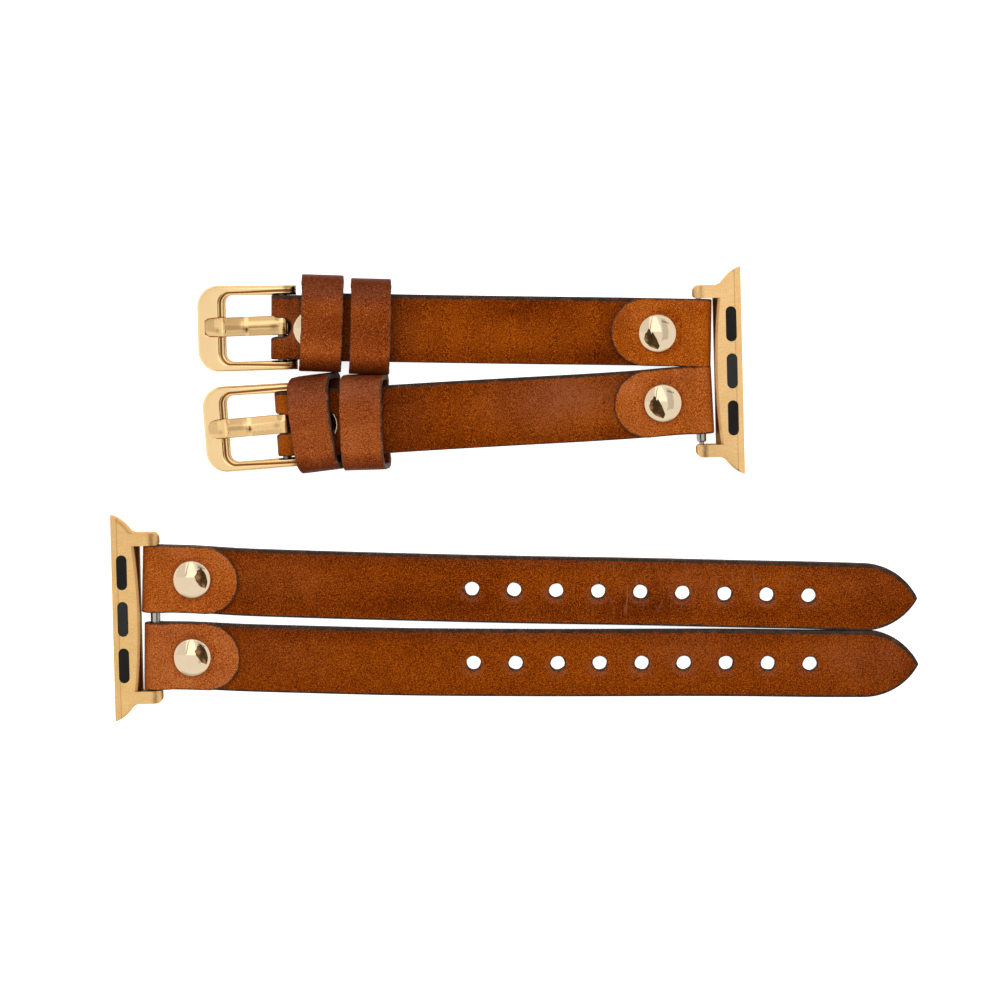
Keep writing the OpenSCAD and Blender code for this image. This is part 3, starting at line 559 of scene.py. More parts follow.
def lining(strap, end_x, matrix, pointed_end=False):
    """One lining: its plan, thickened, on the path under the strap, round the bar and back as the tab. Its half
    width is the tab's circle at one end, the strap's, and at the other a narrowed neck or the point."""
    half, k = strap.split("_")
    path = Path(straight((end_x, -FOLD_R), (0, -FOLD_R)), arc((0, 0), FOLD_R, 270, 90),
                ease((0, FOLD_R), (TAB_X, TAB_Z)), straight((TAB_X, TAB_Z), (TAB[strap], TAB_Z)))
    last = path.length - STRAP_W / 2
    end_rows, half_width = round_end(last, STRAP_W / 2, 22)
    if pointed_end:
        holes = end_x - HOLES
        start_rows = np.concatenate([end_x - TIP[0][::-1], row_lengths([end_x - TIP_CELLS, end_x - 0.5], holes)])
        narrow = lambda s: np.interp(end_x - s, *TIP, left=STRAP_W / 2 - EDGE)
    else:
        holes = []
        start_rows = row_lengths([EDGE, *LINING_NECK[0][1:], end_x - 0.5])
        narrow = lambda s: np.interp(s, *LINING_NECK)
    s = gathered(start_rows, row_lengths([end_x - 0.5, end_x + 5.5], step=0.18),
                 row_lengths([end_x + 5.5, last], step=0.6), end_rows)
    plan, faces = cut_out(s, lambda s: half_width(s, narrow(s)), holes)
    points, faces, inside = thick(plan, faces, LAYER, lapped(NORTH[half], 0.02, -0.14, end=0.04))
    x, y = points[:, 0] - (path.length - TAB[strap]), points[:, 1] * NORTH[half]
    # Tone of the tab, with a ring of painted shadow round the lug rivet's cap, just outside its rim
    tone = (spots(x, y, (3, 4, 5, 2, -0.12), (10, -3, 3, 3, -0.1), (8, 1, 4, 3, 0.08)) - 0.05
            - 0.35 * np.exp(-((np.hypot(x - 5.9, y) - 3.1) / 0.35) ** 2))
    if strap == "short_1":
        tone += spots(x, y, (12.5, 1, 2.5, 4, -0.2))
    # The pale mix on the tab: partly dry leather, partly painted sheen
    dry = np.clip(TAB_DRY_AND_SHEEN[strap] + spots(x, y, (11, 3, 2.5, 2, 0.2), (2.5, 4.6, 3, 0.8, 0.2)), 0, 1)
    made(f"lining_{strap}", carried(points, path, matrix, SWAY[strap]), faces, tab_leather, f"{half}_strap_{k}",
         "leather_lining", f"{half}_lining_{k}", inside=inside, tone=tone, dry=dry)


for k in (1, 2):
    lining(f"short_{k}", SHORT_LEN - 1.8, SHORT_STRAPS[k - 1])
    lining(f"long_{k}", LONG_LEN, LONG_STRAPS[k - 1], pointed_end=True)


# ---------------------------------------------------------------------------
# Long skins. The grain side of the punched straps: a flat strip of oiled calf, pared to nothing under
# the tab, cut to a point, with nine holes for the tang and edges painted dark.

strap_leather = leather("strap_leather", (tint(58, 15, 0), tint(102, 35, 0), tint(134, 56, 2), tint(170, 86, 14)))


def shade_and_tone_long(k, x, y):
    """Tone of a punched strap: a painted shadow just past the tab's end, darker toward the point, brighter along its
    lower middle, with dark patches."""
    # The term at 14 mm is a painted shadow beside the tab's end
    tone = (0.02 - 0.06 * np.exp(-((x - 14) / 3) ** 2) - 0.2 * np.clip((y - 2.5) / 2.5, 0, 1)
            + spots(x, y, (118, 0, 6, 6, -0.14)))
    if k == 1:
        return tone - 0.13 * np.exp(-((y + 3.2) / 2) ** 2) + spots(
            x, y, (46, -1, 12, 4, -0.14), (77, -1.8, 5.5, 2.2, -0.3), (108, 0, 8, 4, -0.06), (90, 3, 14, 1.8, 0.08))
    return tone - 0.06 * np.clip((-y - 3) / 1.5, 0, 1) + spots(
        x, y, (52, -1, 12, 3, 0.04), (68, 3, 14, 2.5, 0.1), (28, 4.4, 14, 1, -0.1), (109, 4, 7, 1.6, 0.12))


def pared(points, reach):
    """Pares a skin's upper face down to nothing at its start: each height over the lower face is multiplied by a
    share that rises evenly to 1 at the reach."""
    low = -LAYER / 2
    points[:, 2] = low + (points[:, 2] - low) * np.clip((points[:, 0] + 0.05) / reach, 0.05, 1)


SKIN_X, SKIN_Z = 1.45, -0.55        # where a skin begins, and the height of its middle
for k, matrix in enumerate(LONG_STRAPS, 1):
    path = Path(straight((SKIN_X, SKIN_Z), (LONG_LEN, SKIN_Z)))
    s = gathered(row_lengths([SKIN_X + EDGE, TAB_X, TIP[0][0]], HOLES) - SKIN_X, TIP[0] - SKIN_X)
    plan, faces = cut_out(s, lambda s: np.interp(s + SKIN_X, *TIP, left=STRAP_W / 2 - EDGE), HOLES - SKIN_X)
    points, faces, inside = thick(plan, faces, LAYER, lapped(1, 0.3, 0.13, HOLES - SKIN_X, swell=0.5))
    x, y = points[:, 0] + SKIN_X, points[:, 1]
    pared(points, 1.65)
    # A painted highlight on the lower side of each hole's rim, laid into the pale mix
    reach = np.hypot(x[:, None] - HOLES, y[:, None])
    angle = np.arctan2(y[:, None], x[:, None] - HOLES)
    ring = np.exp(-((reach - 1.75) / 0.3) ** 2) * np.clip(0.3 - np.sin(angle + 0.35), 0, 1) * 0.95
    near_point = (112, 2, 9, 3, 0.15) if k == 1 else (112, 1, 10, 4, 0.42)
    dry = np.clip(ring.max(1) + spots(x, y, near_point, (84, 1.5, 9, 2.5, 0.28), (19, 1, 9, 4, 0.22),
                                      (58, 4.4, 30, 0.8, 0.25)), 0, 1)
    creased = spots(x, y, *([(76, 0.5, 8, 4, 1.0), (96, 2.5, 9, 2, 0.7)] if k == 1 else [(83, -0.5, 8, 3, 0.5)]))
    made(f"skin_long_{k}", carried(points, path, matrix, SWAY[f"long_{k}"]), faces, strap_leather, f"long_strap_{k}",
         "leather_skin", f"long_skin_{k}", inside=inside, tone=shade_and_tone_long(k, x, y), dry=dry, creased=creased)


# ---------------------------------------------------------------------------
# Short skins. The grain side of the buckle straps. Its end is narrowed, slotted for the tang, taken
# round the buckle bar and back under the strap, and riveted there.

def shade_and_tone_short(k, x, y):
    """Tone of a buckle strap, y to the north: painted shade beside the tab's end and toward the keepers, lighter again
    on the loop past them, bright between the tab and the keepers, and each strap with its own darker patch."""
    # The term at 14 mm is painted shadow beside the tab's end, and the one past 42 mm painted shade toward and between
    # the keepers
    tone = (0.04 - 0.12 * np.exp(-((x - 14) / 3) ** 2) - 0.26 * np.clip((x - 42) / 8, 0, 1)
            - 0.14 * np.clip((y - 2) / 3, 0, 1) - 0.14 * np.clip((-y - 2.6) / 1.6, 0, 1))
    looped_end = np.clip((x - 61.5) / 1.5, 0, 1)
    if k == 1:
        return tone + 0.24 * looped_end + spots(
            x, y, (26, 3.2, 6, 2.2, -0.24), (34, -1, 8, 2.6, 0.1), (16, -3.6, 7, 2.2, -0.16), (17, 3.4, 6, 2, 0.12))
    return tone + 0.62 * looped_end + spots(
        x, y, (44, -2.6, 6, 2.8, -0.12), (43, 2.6, 6, 2, -0.08), (16, -1.4, 7, 3, 0.2), (17, 4.6, 7, 1, 0.12),
        (15, 1, 5, 4, 0.1))


BEND_X = 63.35          # where a short skin leaves the strap's line for its loop round the buckle bar
LOOP_Z, LOOP_R = -1.45, 1.3     # height of the buckle bar, and radius of the skin's middle round it
UNDER_X, UNDER_Z = 56.2, -2.35  # where the end that comes back under the strap stops, and its height
SLOT_TOP, SLOT_UNDER, SLOT_R = 63.86, 63.1, 1.5     # where the tang's slot begins and ends, and its half width
SLOT_WALLS = np.arange(62.6, 71, 0.7)       # lengths along the slot, close enough to take in its walls
NECK_X, NECK = 61.8, 5.02       # where the end is narrowed, and its half width

# How far each loop stops short of its bar, how wide its paint laps to the north, and how much pale mix, partly dryness
# of the leather and partly painted sheen, lies along the strap's middle and on its loop
for k, cut, lap, dry_middle, dry_loop in ((1, 0, 0.42, 0.0, 0.9), (2, 0.35, 0.24, 0.9, 0.2)):
    bar = SHORT_LEN - cut
    path = Path(straight((SKIN_X, SKIN_Z), (BEND_X, SKIN_Z)), ease((BEND_X, SKIN_Z), (bar, LOOP_Z + LOOP_R)),
                arc((bar, LOOP_Z), LOOP_R, 90, -90), ease((bar, LOOP_Z - LOOP_R), (BEND_X - cut, UNDER_Z)),
                straight((BEND_X - cut, UNDER_Z), (UNDER_X, UNDER_Z)))
    front = LOOP_R * np.pi / 2 + bar - SKIN_X
    begin, end = SLOT_TOP - SKIN_X, path.length - (SLOT_UNDER - UNDER_X)
    last = path.length - NECK
    end_rows, half_width = round_end(last, NECK, 18)

    def tang_slot(s):
        """Half width of the tang's slot: round at both ends, flared where it passes the loop's front."""
        left = np.minimum(s - begin, end - s) + EDGE
        r = SLOT_R + EDGE
        flare = 0.22 * np.exp(-((s - front) / 0.9) ** 2)
        width = np.sqrt(np.maximum(r * r - (r - np.clip(left, 0, r)) ** 2, 0)) + flare
        return np.where(left > 0, width, np.clip(-left, 0, 1.2))

    slot_rows = begin - EDGE + np.array([0, 0.03, 0.1, 0.2, 0.34, 0.5, 0.7, 0.95, 1.25, 1.6])
    s = gathered(row_lengths([EDGE, 1.6, NECK_X - SKIN_X, NECK_X + 0.2 - SKIN_X, begin - EDGE - 0.3]), slot_rows,
                 begin + end - slot_rows, row_lengths([begin + 1.4, end - 1.4], step=0.2),
                 row_lengths([end + EDGE + 0.3, last]), end_rows)
    shoulder = [NECK_X - SKIN_X, NECK_X + 0.2 + cut - SKIN_X], [STRAP_W / 2 - EDGE, NECK - EDGE]
    plan, faces = cut_out(s, lambda s: half_width(s, np.interp(s, *shoulder)),
                          slot=(begin - EDGE, end + EDGE, tang_slot))
    points, faces, inside = thick(plan, faces, LAYER, lapped(-1, lap, -0.02, SLOT_WALLS))
    x, y = points[:, 0] + SKIN_X, -points[:, 1]
    pared(points, 1.6)
    dry = np.clip(spots(x, y, (21, 1.6, 10, 4, dry_middle), (46, 1, 3.5, 5, 0.15), (63, 1, 3.5, 5, dry_loop)), 0, 1)
    made(f"skin_short_{k}", carried(points, path, SHORT_STRAPS[k - 1], SWAY[f"short_{k}"]), faces, strap_leather,
         f"short_strap_{k}", "leather_skin", f"short_skin_{k}", inside=inside, tone=shade_and_tone_short(k, x, y), dry=dry)


# ---------------------------------------------------------------------------
# Rivets. Each is a domed brass cap with a hollow post, gold plated and polished to a mirror, set
# through the leather onto a flush disc on the wrist side.

polished_gold = plated("polished_gold", tint(237, 214, 180), 0.05, 0.01, 0.3, 0.9)

# Each rivet's place, its strap and where on it: along, across and up
RIVETS = [("short_lug", 1, 6.55, -0.05, 0.8), ("short_lug", 2, 5.95, -0.28, 0.8),
          ("short_end", 1, SHORT_LEN - 4.7, 0.0, -0.1), ("short_end", 2, SHORT_LEN - 5.2, -0.05, -0.1),
          ("long_lug", 1, 5.9, 0.19, 0.8), ("long_lug", 2, 5.65, -0.02, 0.8)]
CAP_R, CAP_TOP, DOME_R = 2.9, 1.19, 5.0     # the cap: radius of its rim's middle, height, and radius of its dome
POST_R, POST_END = 1.2, -1.5        # its post


def looped(rows, cols):
    """Point numbers of a grid whose rows close on themselves: the first column again at the end."""
    grid = np.arange(rows * cols).reshape(rows, cols)
    return np.concatenate([grid, grid[:, :1]], 1)


def lathed(profile, matrix, n=72):
    """A surface turned about its own Z: the profile's radius times (cos, sin) of the angle, at the profile's height."""
    a = np.linspace(0, 2 * np.pi, n, endpoint=False)
    r, z = profile[:, :1], profile[:, 1:]
    points = np.stack([r * np.cos(a), r * np.sin(a), z + 0 * a], -1).reshape(-1, 3)
    points, faces = welded(points, quads(looped(len(profile), n)))
    return moved(points, matrix), faces


for kind, k, x, y, top in RIVETS:
    half = kind.split("_")[0]
    straps = SHORT_STRAPS if half == "short" else LONG_STRAPS
    profile = np.concatenate([[[0, POST_END], [POST_R, POST_END], [POST_R, 0.0]], arc((CAP_R, 0.1), 0.1, -90, 40, 7),
                              arc((0, CAP_TOP - DOME_R), DOME_R, 54.4, 90, 34)])
    points, faces = lathed(profile, straps[k - 1] @ shifted(x, y, top))
    made(f"cap_{kind}_{k}", points, faces, polished_gold, f"{half}_strap_{k}", "gold_polished", f"{kind}_cap_{k}")
    finish_node(f"{kind}_base_{k}", spring_steel)


# ---------------------------------------------------------------------------
# Tangs. A bent brass blade, gold plated, closed round the buckle bar at its root. Flanks are ground on
# its middle, and its thin rounded tip lies let into the front bar.

# Where each buckle lies: X from its bar to its front, sloped down to the table, and turned
SLOPE = 3.6493
BUCKLES = [m @ shifted(SHORT_LEN, y, LOOP_Z) @ turned(SLOPE, "y") @ turned(a, "z")
           for m, y, a in zip(SHORT_STRAPS, (-0.2, -0.25), (1.95, 1.0))]
TANG_SET = ((-0.42, 1.0), (-0.3, 0.9))      # sideways place on the bar, and turn
TANG_END, TANG_R = 12.1, 0.9        # the blade's length, and the radius of its end
FRONT = 9.2         # where the blade meets the front bar
tang_gold = plated("tang_gold", tint(249, 210, 150), 0.16, 0.06, 0.8)


def tang_half(x):
    """Half width of the blade: full to the front bar, then tapering, and round at the end as a circle is."""
    full = np.where(x < FRONT, 1.5, 1.5 - 0.06 * (x - FRONT))
    left = np.clip(TANG_END - x, 0, TANG_R)
    return full - TANG_R + np.sqrt(np.maximum(TANG_R ** 2 - (TANG_R - left) ** 2, 0))


ARCH_R = 60


def arch(x):
    """Drop of the arched frame at x from its bar: its circle, less its top."""
    return np.sqrt(ARCH_R ** 2 - x ** 2) - ARCH_R


def painted_reflections(k, x, v):
    """Painted reflections on the blade, as a share of painted shade at x and at a share v of its half width to the
    south: along the ridge's foot, on the facet that faces north, and deepest in the two bends, where a painted
    highlight beside each takes the shade off."""
    bends = spots(x, v, (5.6, 0.3, 0.4, 0.25, 0.7), (10.2, 0.35, 0.4, 0.25, 0.6), (1.2, 0.1, 0.5, 0.25, 0.65),
                  (6.1, -0.25, 0.35, 0.4, -0.5), (9.6, -0.1, 0.5, 0.4, -0.4))
    root, middle, tip = (x > 0.5) & (x < 5.2), (x > 5.7) & (x < FRONT), x > 10.6
    line = lambda at, wide: np.exp(-((v - at) / wide) ** 2)
    if k == 1:
        return (0.08 + bends + root * (0.75 * line(0.1, 0.1) + 0.42 * (v < -0.42) + 0.3 * (v > 0.3))
                + 0.28 * tip * (v < 0.6) + middle * (0.55 * (v < 0.35) + 0.22 * (v > 0.35)))
    return (0.8 * bends + root * (0.36 * (v < -0.2) + 0.24 * (v > 0.4)) + 0.24 * tip * (v < 0.6)
            + middle * (0.42 * (v < 0.05) + 0.6 * line(0.15, 0.12) + 0.16 * (v > 0.3)))


def skinned(points, matrix):
    """A closed surface through rows of points, each row a closed section: quads between the rows, and at the first
    row and the last a fan of triangles round its middle."""
    rows, cols = points.shape[:2]
    grid, n = looped(rows, cols), rows * cols
    first, last = grid[0], grid[-1]
    caps = [np.stack([first[1:], first[:-1], np.full(cols, n)], -1),
            np.stack([last[:-1], last[1:], np.full(cols, n + 1)], -1)]
    points = np.concatenate([points.reshape(-1, 3), [points[0].mean(0), points[-1].mean(0)]])
    return moved(points, matrix), np.concatenate([quads(grid), *caps])


def tang(k, matrix):
    """The blade's section at each length: a narrow ridge between two flanks, over a flat underside. The ridge's
    width and the flanks' drop change along the blade, and the root is the same section taken round the bar."""
    top_x = np.concatenate([
        np.linspace(0, 5.0, 18), [5.1, 5.25, 5.4, 5.55, 5.7], np.linspace(5.9, 8.8, 12),
        [8.9, 9.0, 9.12, 9.25, 9.4, 9.55], np.linspace(9.8, 10.9, 7),
        TANG_END - TANG_R + TANG_R * np.sin(np.linspace(0, np.pi / 2, 12))])
    height = np.interp(top_x, [0, 1.5, 5.2, 5.7, 8.9, 9.5, 10.5, 11.2, TANG_END],
                       [1.54, 1.46, 1.25, 1.33, 1.10, 0.45, 0.20, 0.06, -0.14])
    thickness = np.interp(top_x, [0, 1, 1.5, 3, 8.8, 9.4, TANG_END], [0.5, 0.8, 0.92, 1.0, 1.02, 0.5, 0.42])
    flat = np.interp(top_x, [0, 5.2, 5.7, 8.8, 9.3, TANG_END], [0.3, 0.18, 0.22, 0.3, 0.8, 0.84])
    drop = np.interp(top_x, [0, 0.8, 5.2, 5.6, 8.9, 9.35, TANG_END], [0.1, 0.26, 0.26, 0.36, 0.34, 0.1, 0.06])
    v = np.array([-1, -0.94, -0.8, -0.6, -0.42, -0.3, -0.15, 0, 0.08, 0.16, 0.25, 0.4, 0.6, 0.8, 0.94, 1])
    low = np.array([1, 0.9, 0, -0.9, -1])
    rise = np.clip((np.abs(v) - flat[:, None]) / (0.94 - flat[:, None]), 0, 1)
    fall = np.minimum(drop[:, None] * rise + 0.1 * (np.abs(v) == 1), thickness[:, None])
    fall = np.concatenate([fall, thickness[:, None] - 0.12 * (np.abs(low) == 1)], 1)
    v = np.tile(np.append(v, low), (len(top_x), 1))
    x, y, z = np.repeat(top_x[:, None], v.shape[1], 1), v * tang_half(top_x)[:, None], height[:, None] - fall
    # Painted reflections on the blade, as shares of painted shade
    seam = np.clip(painted_reflections(k, x, v), 0, 0.9)
    ring = np.radians(np.linspace(-255, -3, 44))[:, None]
    under = np.radians([-90, -20])
    depth = np.interp(ring, under, [1.38, 1.54]) - fall[:1] * np.interp(ring, under, [0.75, 1])
    # Painted shade on the root as it turns down round the bar
    seam = np.concatenate([np.repeat(np.clip(2.4 * (np.abs(ring) - 0.55), 0, 0.9), v.shape[1], 1), seam])
    x = np.concatenate([depth * np.sin(ring), x])
    z = np.concatenate([depth * np.cos(ring), z])
    y = np.concatenate([y[:1] * np.interp(ring, np.radians([-90, -30]), [0.78, 1]), y])
    points, faces = skinned(np.stack([x, y, z], -1), matrix)
    return points, faces[:, ::-1], np.append(seam.ravel(), [0.9, 0])


for k, (shift, turn) in enumerate(TANG_SET, 1):
    points, faces, seam = tang(k, BUCKLES[k - 1] @ shifted(0, shift) @ turned(turn, "z"))
    made(f"tang_{k}", points, faces, tang_gold, f"tang_{k}", "gold_satin", f"buckle_tang_{k}", sharp=22, seam=seam)


# ---------------------------------------------------------------------------
# Buckle frames. A brass frame, open behind its bar, arched to follow the wrist, gold plated. A rounded
# bead runs round the window inside a crease, and the front bar is let down where the tang rests.

frame_gold = plated("frame_gold", tint(250, 214, 158), 0.2, 0.03, 0.35, 0.92)
# The buckle bars' steel is painted darker and browner than the spring steel, as painted shade where each bar shows
# between the frame's eye and the leather
shaded_steel = plated("shaded_steel", tint(128, 118, 104), 0.3, 0.08)
FRAMES = ((8.95, 13.4, 0.0), (9.4, 13.25, -0.4))     # where the window and the frame end, and play on the bar
BACK = -2.3                         # how far the eyes reach behind the bar
WINDOW_R, WINDOW_Y = 1.3, 3.92      # the window's corners: radius, and how far out their centres are
CORNER_R, CORNER_Y = 3.3, 3.42      # and the frame's


def frame_lines(window, front):
    """The window's edge and the outer edge, as points that go together, from one eye round the front to the other.
    Both are an arm that spreads a little, a quarter circle at the corner and a straight front."""
    arm, corner = 34, 16
    close = np.linspace(TANG_R, 2.1, 25) / 3.7
    across = np.unique(np.concatenate([np.linspace(-1, 1, 31), close, -close]))[::-1]
    lines = []
    for end, r, out, eye, spread in ((window, WINDOW_R, WINDOW_Y, 5.07, 5.22),
                                     (front, CORNER_R, CORNER_Y, 6.55, 6.72)):
        line = np.concatenate([np.stack([np.linspace(BACK, end - r, arm), np.linspace(eye, spread, arm)], -1),
                               arc((end - r, out), r, 90, 0, corner)[1:],
                               np.stack([np.full(len(across), end), out * across], -1)[1:-1]])
        lines.append(np.concatenate([line, (line * [1, -1])[:arm + corner][::-1]]))
    return lines


def buckle_frame(matrix, lines, shift, turn):
    """The frame's section carried along both lines: q runs from the window's edge to the outer edge, over the
    bead, the crease and the satin face, and back underneath. Where the bar is narrow, bead and rounding shrink."""
    inner, outer = lines
    wide = np.hypot(*(outer - inner).T)[:, None]
    bead_wide = 0.93
    bead = np.array([0.0, 0.0, 0.03, 0.10, 0.2, 0.32, 0.44, 0.55, 0.65, 0.72, 0.78, 0.84, bead_wide])
    bead_z = np.array([-0.85, 0.05, 0.42, 0.66, 0.83, 0.92, 0.93, 0.86, 0.74, 0.62, 0.62, 0.82, 1.0])
    # Painted shade along the bead's section: some at the window's edge, deepest in the crease between bead and face
    dark = np.array([0.5, 0.35, 0.2, 0.08, 0, 0, 0, 0.1, 0.45, 1, 1, 0.5, 0.0])
    edge = np.array([0.5, 0.34, 0.2, 0.1, 0.03, 0.0, 0.0, 0.05, 0.2, 0.4])
    edge_z = np.array([1.08, 1.03, 0.93, 0.77, 0.55, 0.3, -0.7, -0.92, -1.06, -1.1])
    under = np.array([0.35, 0.12])
    mid = np.linspace(0, 1, 9)[1:-1]
    narrow = np.clip((wide - 0.3) / 1.15, 0, 1)
    face = wide - bead_wide * narrow
    edge_q = edge * np.clip(face / 0.55, 0, 1)
    q = np.concatenate([bead * narrow, bead_wide * narrow + (face - edge_q[:, :1]) * mid, wide - edge_q,
                        np.tile(under, (len(wide), 1))], 1)
    z = np.concatenate([bead_z, 1.03 + 0.07 * np.sin(np.pi * (mid + 0.35) / 1.7), edge_z, [-1.1, -1.02]])
    # Painted shade over the section: the bead's as above, a little on the outer wall, none on the face
    seam = np.concatenate([dark, 0 * mid, np.clip(0.22 - edge, 0, 0.2), 0 * under])
    x, y = (inner[:, [i]] + (outer - inner)[:, [i]] / wide * q for i in (0, 1))
    end = np.clip((x - BACK) / 1.1, 0, 1)
    z = z * np.sqrt(np.maximum(1 - (1 - end) ** 2, 0.0004))
    # Painted shade over the eyes behind the bar, with a painted highlight on each eye
    bright = spots(x, y, (-1.4, 6 * np.sign(y), 0.3, 0.4, 0.6))
    seam = np.maximum(seam * 0.8, np.clip((-0.1 - x) / 0.9, 0, 0.85) - bright)
    apart = np.abs(y - shift - x * np.sin(np.radians(turn))) - tang_half(x)
    rest = np.clip((0.1 - apart) / 0.05, 0, 1) * np.clip((x - 8.8) / 0.1, 0, 1) * (x < TANG_END - 0.1)
    z = np.where(z > 0.4, z - rest * np.maximum(z - 0.62, 0), z) + arch(x)
    return (*skinned(np.stack([x, y, z], -1), matrix), np.append(seam.ravel(), [0.75, 0.75]))


for k, ((shift, turn), (window, front, play)) in enumerate(zip(TANG_SET, FRAMES), 1):
    points, faces, seam = buckle_frame(BUCKLES[k - 1] @ shifted(play, 0), frame_lines(window, front), shift, turn)
    made(f"frame_{k}", points, faces, frame_gold, f"buckle_{k}", "gold_satin", f"buckle_frame_{k}", seam=seam)
    finish_node(f"buckle_bar_{k}", shaded_steel)


# ---------------------------------------------------------------------------
# Keepers. Each is a loop of one strip of the same calf, its ends butted under the strap. Two on each
# short strap hold the pointed end down. Their cut edges are raw.

keeper_leather = leather("keeper_leather", (tint(66, 20, 0), tint(112, 42, 8), tint(148, 68, 20), tint(184, 104, 46)),
                         dry=tint(152, 92, 66), grain=0.78,
                         paint=(tint(56, 34, 27), tint(98, 68, 54), tint(178, 146, 120)))

# Each keeper's strap, its way back from the buckle bar, across and up, its turn, lean and bow, its width over the
# strap, its length along it, and how much brighter it is
KEEPERS = {"1a": (1, 6.1, -0.98, -3.85, -1.2, 0.0, 0.12, 15.1, 6.5, -0.02),
           "1b": (1, 13.7, -0.6, -2.95, -0.7, 0.0, 0.12, 14.9, 6.25, -0.06),
           "2a": (2, 5.4, -0.35, -3.85, 3.8, 0.35, -0.4, 15.1, 6.25, -0.04),
           "2b": (2, 12.65, -0.07, -2.95, -1.7, 0.2, -0.25, 14.9, 6.5, 0.05)}
KEEPER_H, KEEPER_T = 6.4, 0.95

# Painted shade and highlight across the keepers of each strap, darkest where each loop turns down at its north and
# south sides: ways north of the middle, and tones there
NORTHWARD = [-7.5, -6.9, -5.7, -4.4, -3.1, -1.9, -0.6, 0.6, 1.9, 3.1, 4.4, 5.7, 7]
KEEPER_SHADING = {1: (-.65, -.6, -.19, .12, .03, -.06, -.09, -.06, 0, .02, -.2, -.38, -.42),
               2: (-.4, -.3, -.14, .12, .09, .1, .08, 0, .02, -.04, -.12, -.27, -.38)}


def keeper(matrix, lean, bow, wide, length):
    """The strip carried round a rectangle with round corners, sheared along the strap by the lean, and bowed
    along it by the bow times one less the square of the share of the half width."""
    half_width = 7.45
    top, low = 2.2 - KEEPER_T / 2, 1.4 - KEEPER_T / 2       # radii of the middle of its thickness at the corners
    a, b = wide / 2 - KEEPER_T / 2, KEEPER_H / 2 - KEEPER_T / 2
    path = Path([[0.03, -b]], straight((0.03, -b), (a - low, -b)), arc((a - low, low - b), low, 270, 360, 12),
                arc((a - top, b - top), top, 0, 90, 14), straight((a - top, b), (top - a, b)),
                arc((top - a, b - top), top, 90, 180, 14), arc((low - a, low - b), low, 180, 270, 12),
                straight((low - a, -b), (-0.03, -b)))
    s = row_lengths([EDGE, path.length - EDGE], step=0.3)
    plan, faces = cut_out(s, lambda s: np.full(len(s), length / 2 - EDGE))
    points, faces, inside = thick(plan, faces, KEEPER_T, lambda at, normal: np.where(normal[:, 1] < 0, -0.02, -0.13))
    s, across, h = points.T
    at, normal = path.at(s)
    ring = at - h[:, None] * normal
    rough = 0.03 * np.sin(1.3 * s + 0.4) + 0.02 * np.sin(3.1 * s + 1) + 0.012 * np.sin(7.7 * s)
    x = across * (1 + rough / 3) + lean * ring[:, 1] - bow * (1 - (ring[:, 0] / half_width) ** 2)
    return moved(np.column_stack([x, ring]), matrix), faces[:, ::-1], inside, -ring[:, 0], h > 0


for name, (k, back, across, up, turn, lean, bow, wide, length, shade) in KEEPERS.items():
    matrix = SHORT_STRAPS[k - 1] @ shifted(SHORT_LEN - back, across, up + KEEPER_H / 2) @ turned(turn, "z")
    points, faces, inside, north, outside = keeper(matrix, lean, bow, wide, length)
    # Painted shade and highlight across the outer face, and painted shade over the inner face, inside the loop
    tone = np.where(outside, np.interp(north, NORTHWARD, KEEPER_SHADING[k]) + shade, -0.42)
    # The pale mix on the outer face: painted sheen toward the north, over an even share for each strap
    bloom_and_sheen = 0.45 * np.exp(-((north - 5.0) / 1.8) ** 2) + (0.04, 0.22)[k - 1]
    made(f"loop_{name}", points, faces, keeper_leather, f"keeper_{name}", "leather_keeper", f"keeper_{name}",
         inside=inside, tone=tone, dry=np.where(outside, np.clip(bloom_and_sheen, 0, 1), 0.0))


# ---------------------------------------------------------------------------
# Studio. A plain white table under wide soft light, with the camera where the photograph's was:
# 600 mm up, 4.5 degrees off the vertical.

TABLE_LIFT = 0.85       # the table's own white for camera and transmission rays, so that only real shadow stays grey
MIRRORED_LIFT = 0.3     # and for glossy rays, which see the lit table at about plain white


def seen_rays(tree):
    """1 for camera and transmission rays, and 0 for the rest, and 1 for glossy rays and 0 for the rest."""
    rays = wired(tree, "ShaderNodeLightPath").outputs
    return worked(tree, "MAXIMUM", rays["Is Camera Ray"], rays["Is Transmission Ray"]), rays["Is Glossy Ray"]


def staged(name, corners, material):
    """A flat sheet of the studio, with one face through those corners."""
    sheet = bpy.data.objects.new(name, bpy.data.meshes.new(name))
    sheet.data.from_pydata(corners, [], [list(range(len(corners)))])
    sheet.data.materials.append(material)
    bpy.context.scene.collection.objects.link(sheet)
    return sheet


table_white, tree, shader = nodes_of("table_white")
seen, glossy = seen_rays(tree)
mirrored = stretched(tree, glossy, 0, 1, 0, MIRRORED_LIFT)
fed(tree, shader, {
    "Base Color": (0.9, 0.9, 0.9, 1), "Roughness": 0.9, "Specular IOR Level": 0.0, "Emission Color": (1, 1, 1, 1),
    "Emission Strength": worked(tree, "MULTIPLY_ADD", seen, TABLE_LIFT, mirrored)})
staged("table", [(-2, -2, 0), (2, -2, 0), (2, 2, 0), (-2, 2, 0)], table_white)

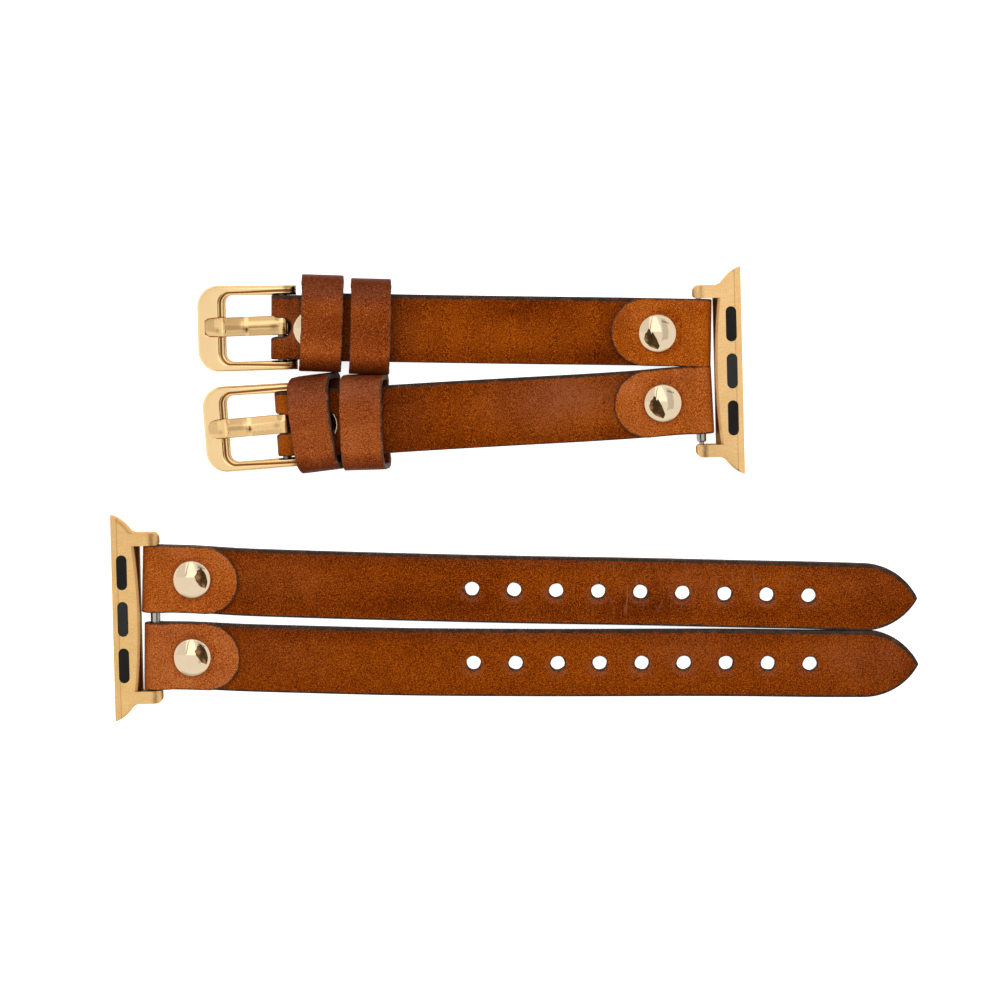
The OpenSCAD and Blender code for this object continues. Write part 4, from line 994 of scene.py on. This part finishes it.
# A dark card hung 60 mm over the middle of the table, seen only in polished metal.
card_brown, tree, shader = nodes_of("card_brown")
blotch = stretched(tree, noise(tree, coordinates(tree), 26.0, 2.0), 0.35, 0.62)
fed(tree, shader, {
    "Base Color": (0, 0, 0, 1), "Roughness": 1.0, "Specular IOR Level": 0.0, "Emission Strength": 1.0,
    "Emission Color": ramp(tree, blotch, (tint(66, 56, 40), tint(92, 76, 54), tint(176, 132, 104)))})
CARD = ((-34, 8), (-30, 22), (-17, 30), (-13, 44), (-2, 38), (3, 22), (8, 30), (24, 2), (40, -42), (34, -82),
        (-12, -54), (-36, -24), (-43, -6))      # its outline, in millimetres
card = staged("card", [(0.001 * x, 0.001 * y, 0.06) for x, y in CARD], card_brown)
for kind in ("camera", "diffuse", "transmission", "volume_scatter", "shadow"):
    setattr(card, f"visible_{kind}", False)

world = bpy.data.worlds.new("studio")
bpy.context.scene.world = world
world.use_nodes = True
tree = world.node_tree
seen, glossy = seen_rays(tree)
way = wired(tree, "ShaderNodeSeparateXYZ", {0: coordinates(tree, "Generated")}).outputs
up = worked(tree, "MAXIMUM", way[2], 0.05)
east, north = (worked(tree, "DIVIDE", way[i], up) for i in (0, 1))
waver = noise(tree, coordinates(tree, "Generated"), 6.0, 3.0)


def panel(x0, x1, y0, y1, soft, ragged, lean=0.0):
    """A four-sided area of the sky, in tangents of the angle east and north of straight up: 1 inside, 0 outside.
    The lean adds that share of the way north to the way east, so that its sides run diagonally."""
    inside = None
    for socket, low, high in ((worked(tree, "MULTIPLY_ADD", north, lean, east), x0, x1), (north, y0, y1)):
        socket = worked(tree, "MULTIPLY_ADD", waver, ragged, socket)
        low, high = low + ragged / 2, high + ragged / 2
        for side in (stretched(tree, socket, low - soft, low), stretched(tree, socket, high, high + soft, 1.0, 0.0)):
            inside = worked(tree, "MULTIPLY", inside, side) if inside else side
    return inside


# What polished metal mirrors: a bright window with thin bars, dim stands east and west of it, and the unlit room low
# down to the north and south.
sky = worked(tree, "MULTIPLY_ADD", panel(-0.42, 0.34, 0.1, 1.9, 0.04, 0.12, 0.2), 0.5, 1.0)
room = worked(tree, "MULTIPLY", stretched(tree, worked(tree, "ABSOLUTE", way[1]), 0.72, 0.86),
              stretched(tree, way[2], 0.14, 0.42, 0.75, 0.0))
for dark, amount in ((panel(0.42, 0.95, -0.5, 1.5, 0.05, 0.2), 0.3), (panel(-1.9, -0.5, 0.1, 1.6, 0.05, 0.2), 0.12),
                     (panel(-0.46, -0.4, 0.18, 1.7, 0.02, 0.2), 0.7), (panel(0.5, 1.3, 0.9, 1.1, 0.05, 0.2), 0.5),
                     (room, 1.0)):
    sky = worked(tree, "MULTIPLY", sky, worked(tree, "MULTIPLY_ADD", dark, -amount, 1.0))
plain = stretched(tree, seen, 0, 1, 0.62, 1.0)
mirrored = wired(tree, "ShaderNodeMix", {0: glossy, 2: plain, 3: sky}, data_type="FLOAT").outputs[0]
fed(tree, tree.nodes["Background"], {"Color": (1, 1, 1, 1), "Strength": mirrored})

for name, place, size, power in (("soft_top", (-0.12, 0.42, 0.75), 0.6, 4.2),
                                 ("soft_side", (0.6, -0.3, 0.5), 0.4, 0.9)):
    lamp = bpy.data.lights.new(name, "AREA")
    lamp.size, lamp.energy, lamp.specular_factor = size, power, 0.3
    light = bpy.data.objects.new(name, lamp)
    bpy.context.scene.collection.objects.link(light)
    x, y, z = place
    light.location = place
    light.visible_glossy = False
    light.rotation_euler = (np.arctan2(np.hypot(x, y), z), 0, np.arctan2(y, x) + np.pi / 2)

camera = bpy.data.objects.new("camera", bpy.data.cameras.new("camera"))
bpy.context.scene.collection.objects.link(camera)
bpy.context.scene.camera = camera
camera.data.lens, camera.data.sensor_width = 137.44, 36
camera.location = (-0.00125, 0.0462, 0.6)
camera.rotation_euler = (np.radians(-4.5), 0.00178, -0.00018)
bpy.context.scene.view_settings.view_transform = "Standard"
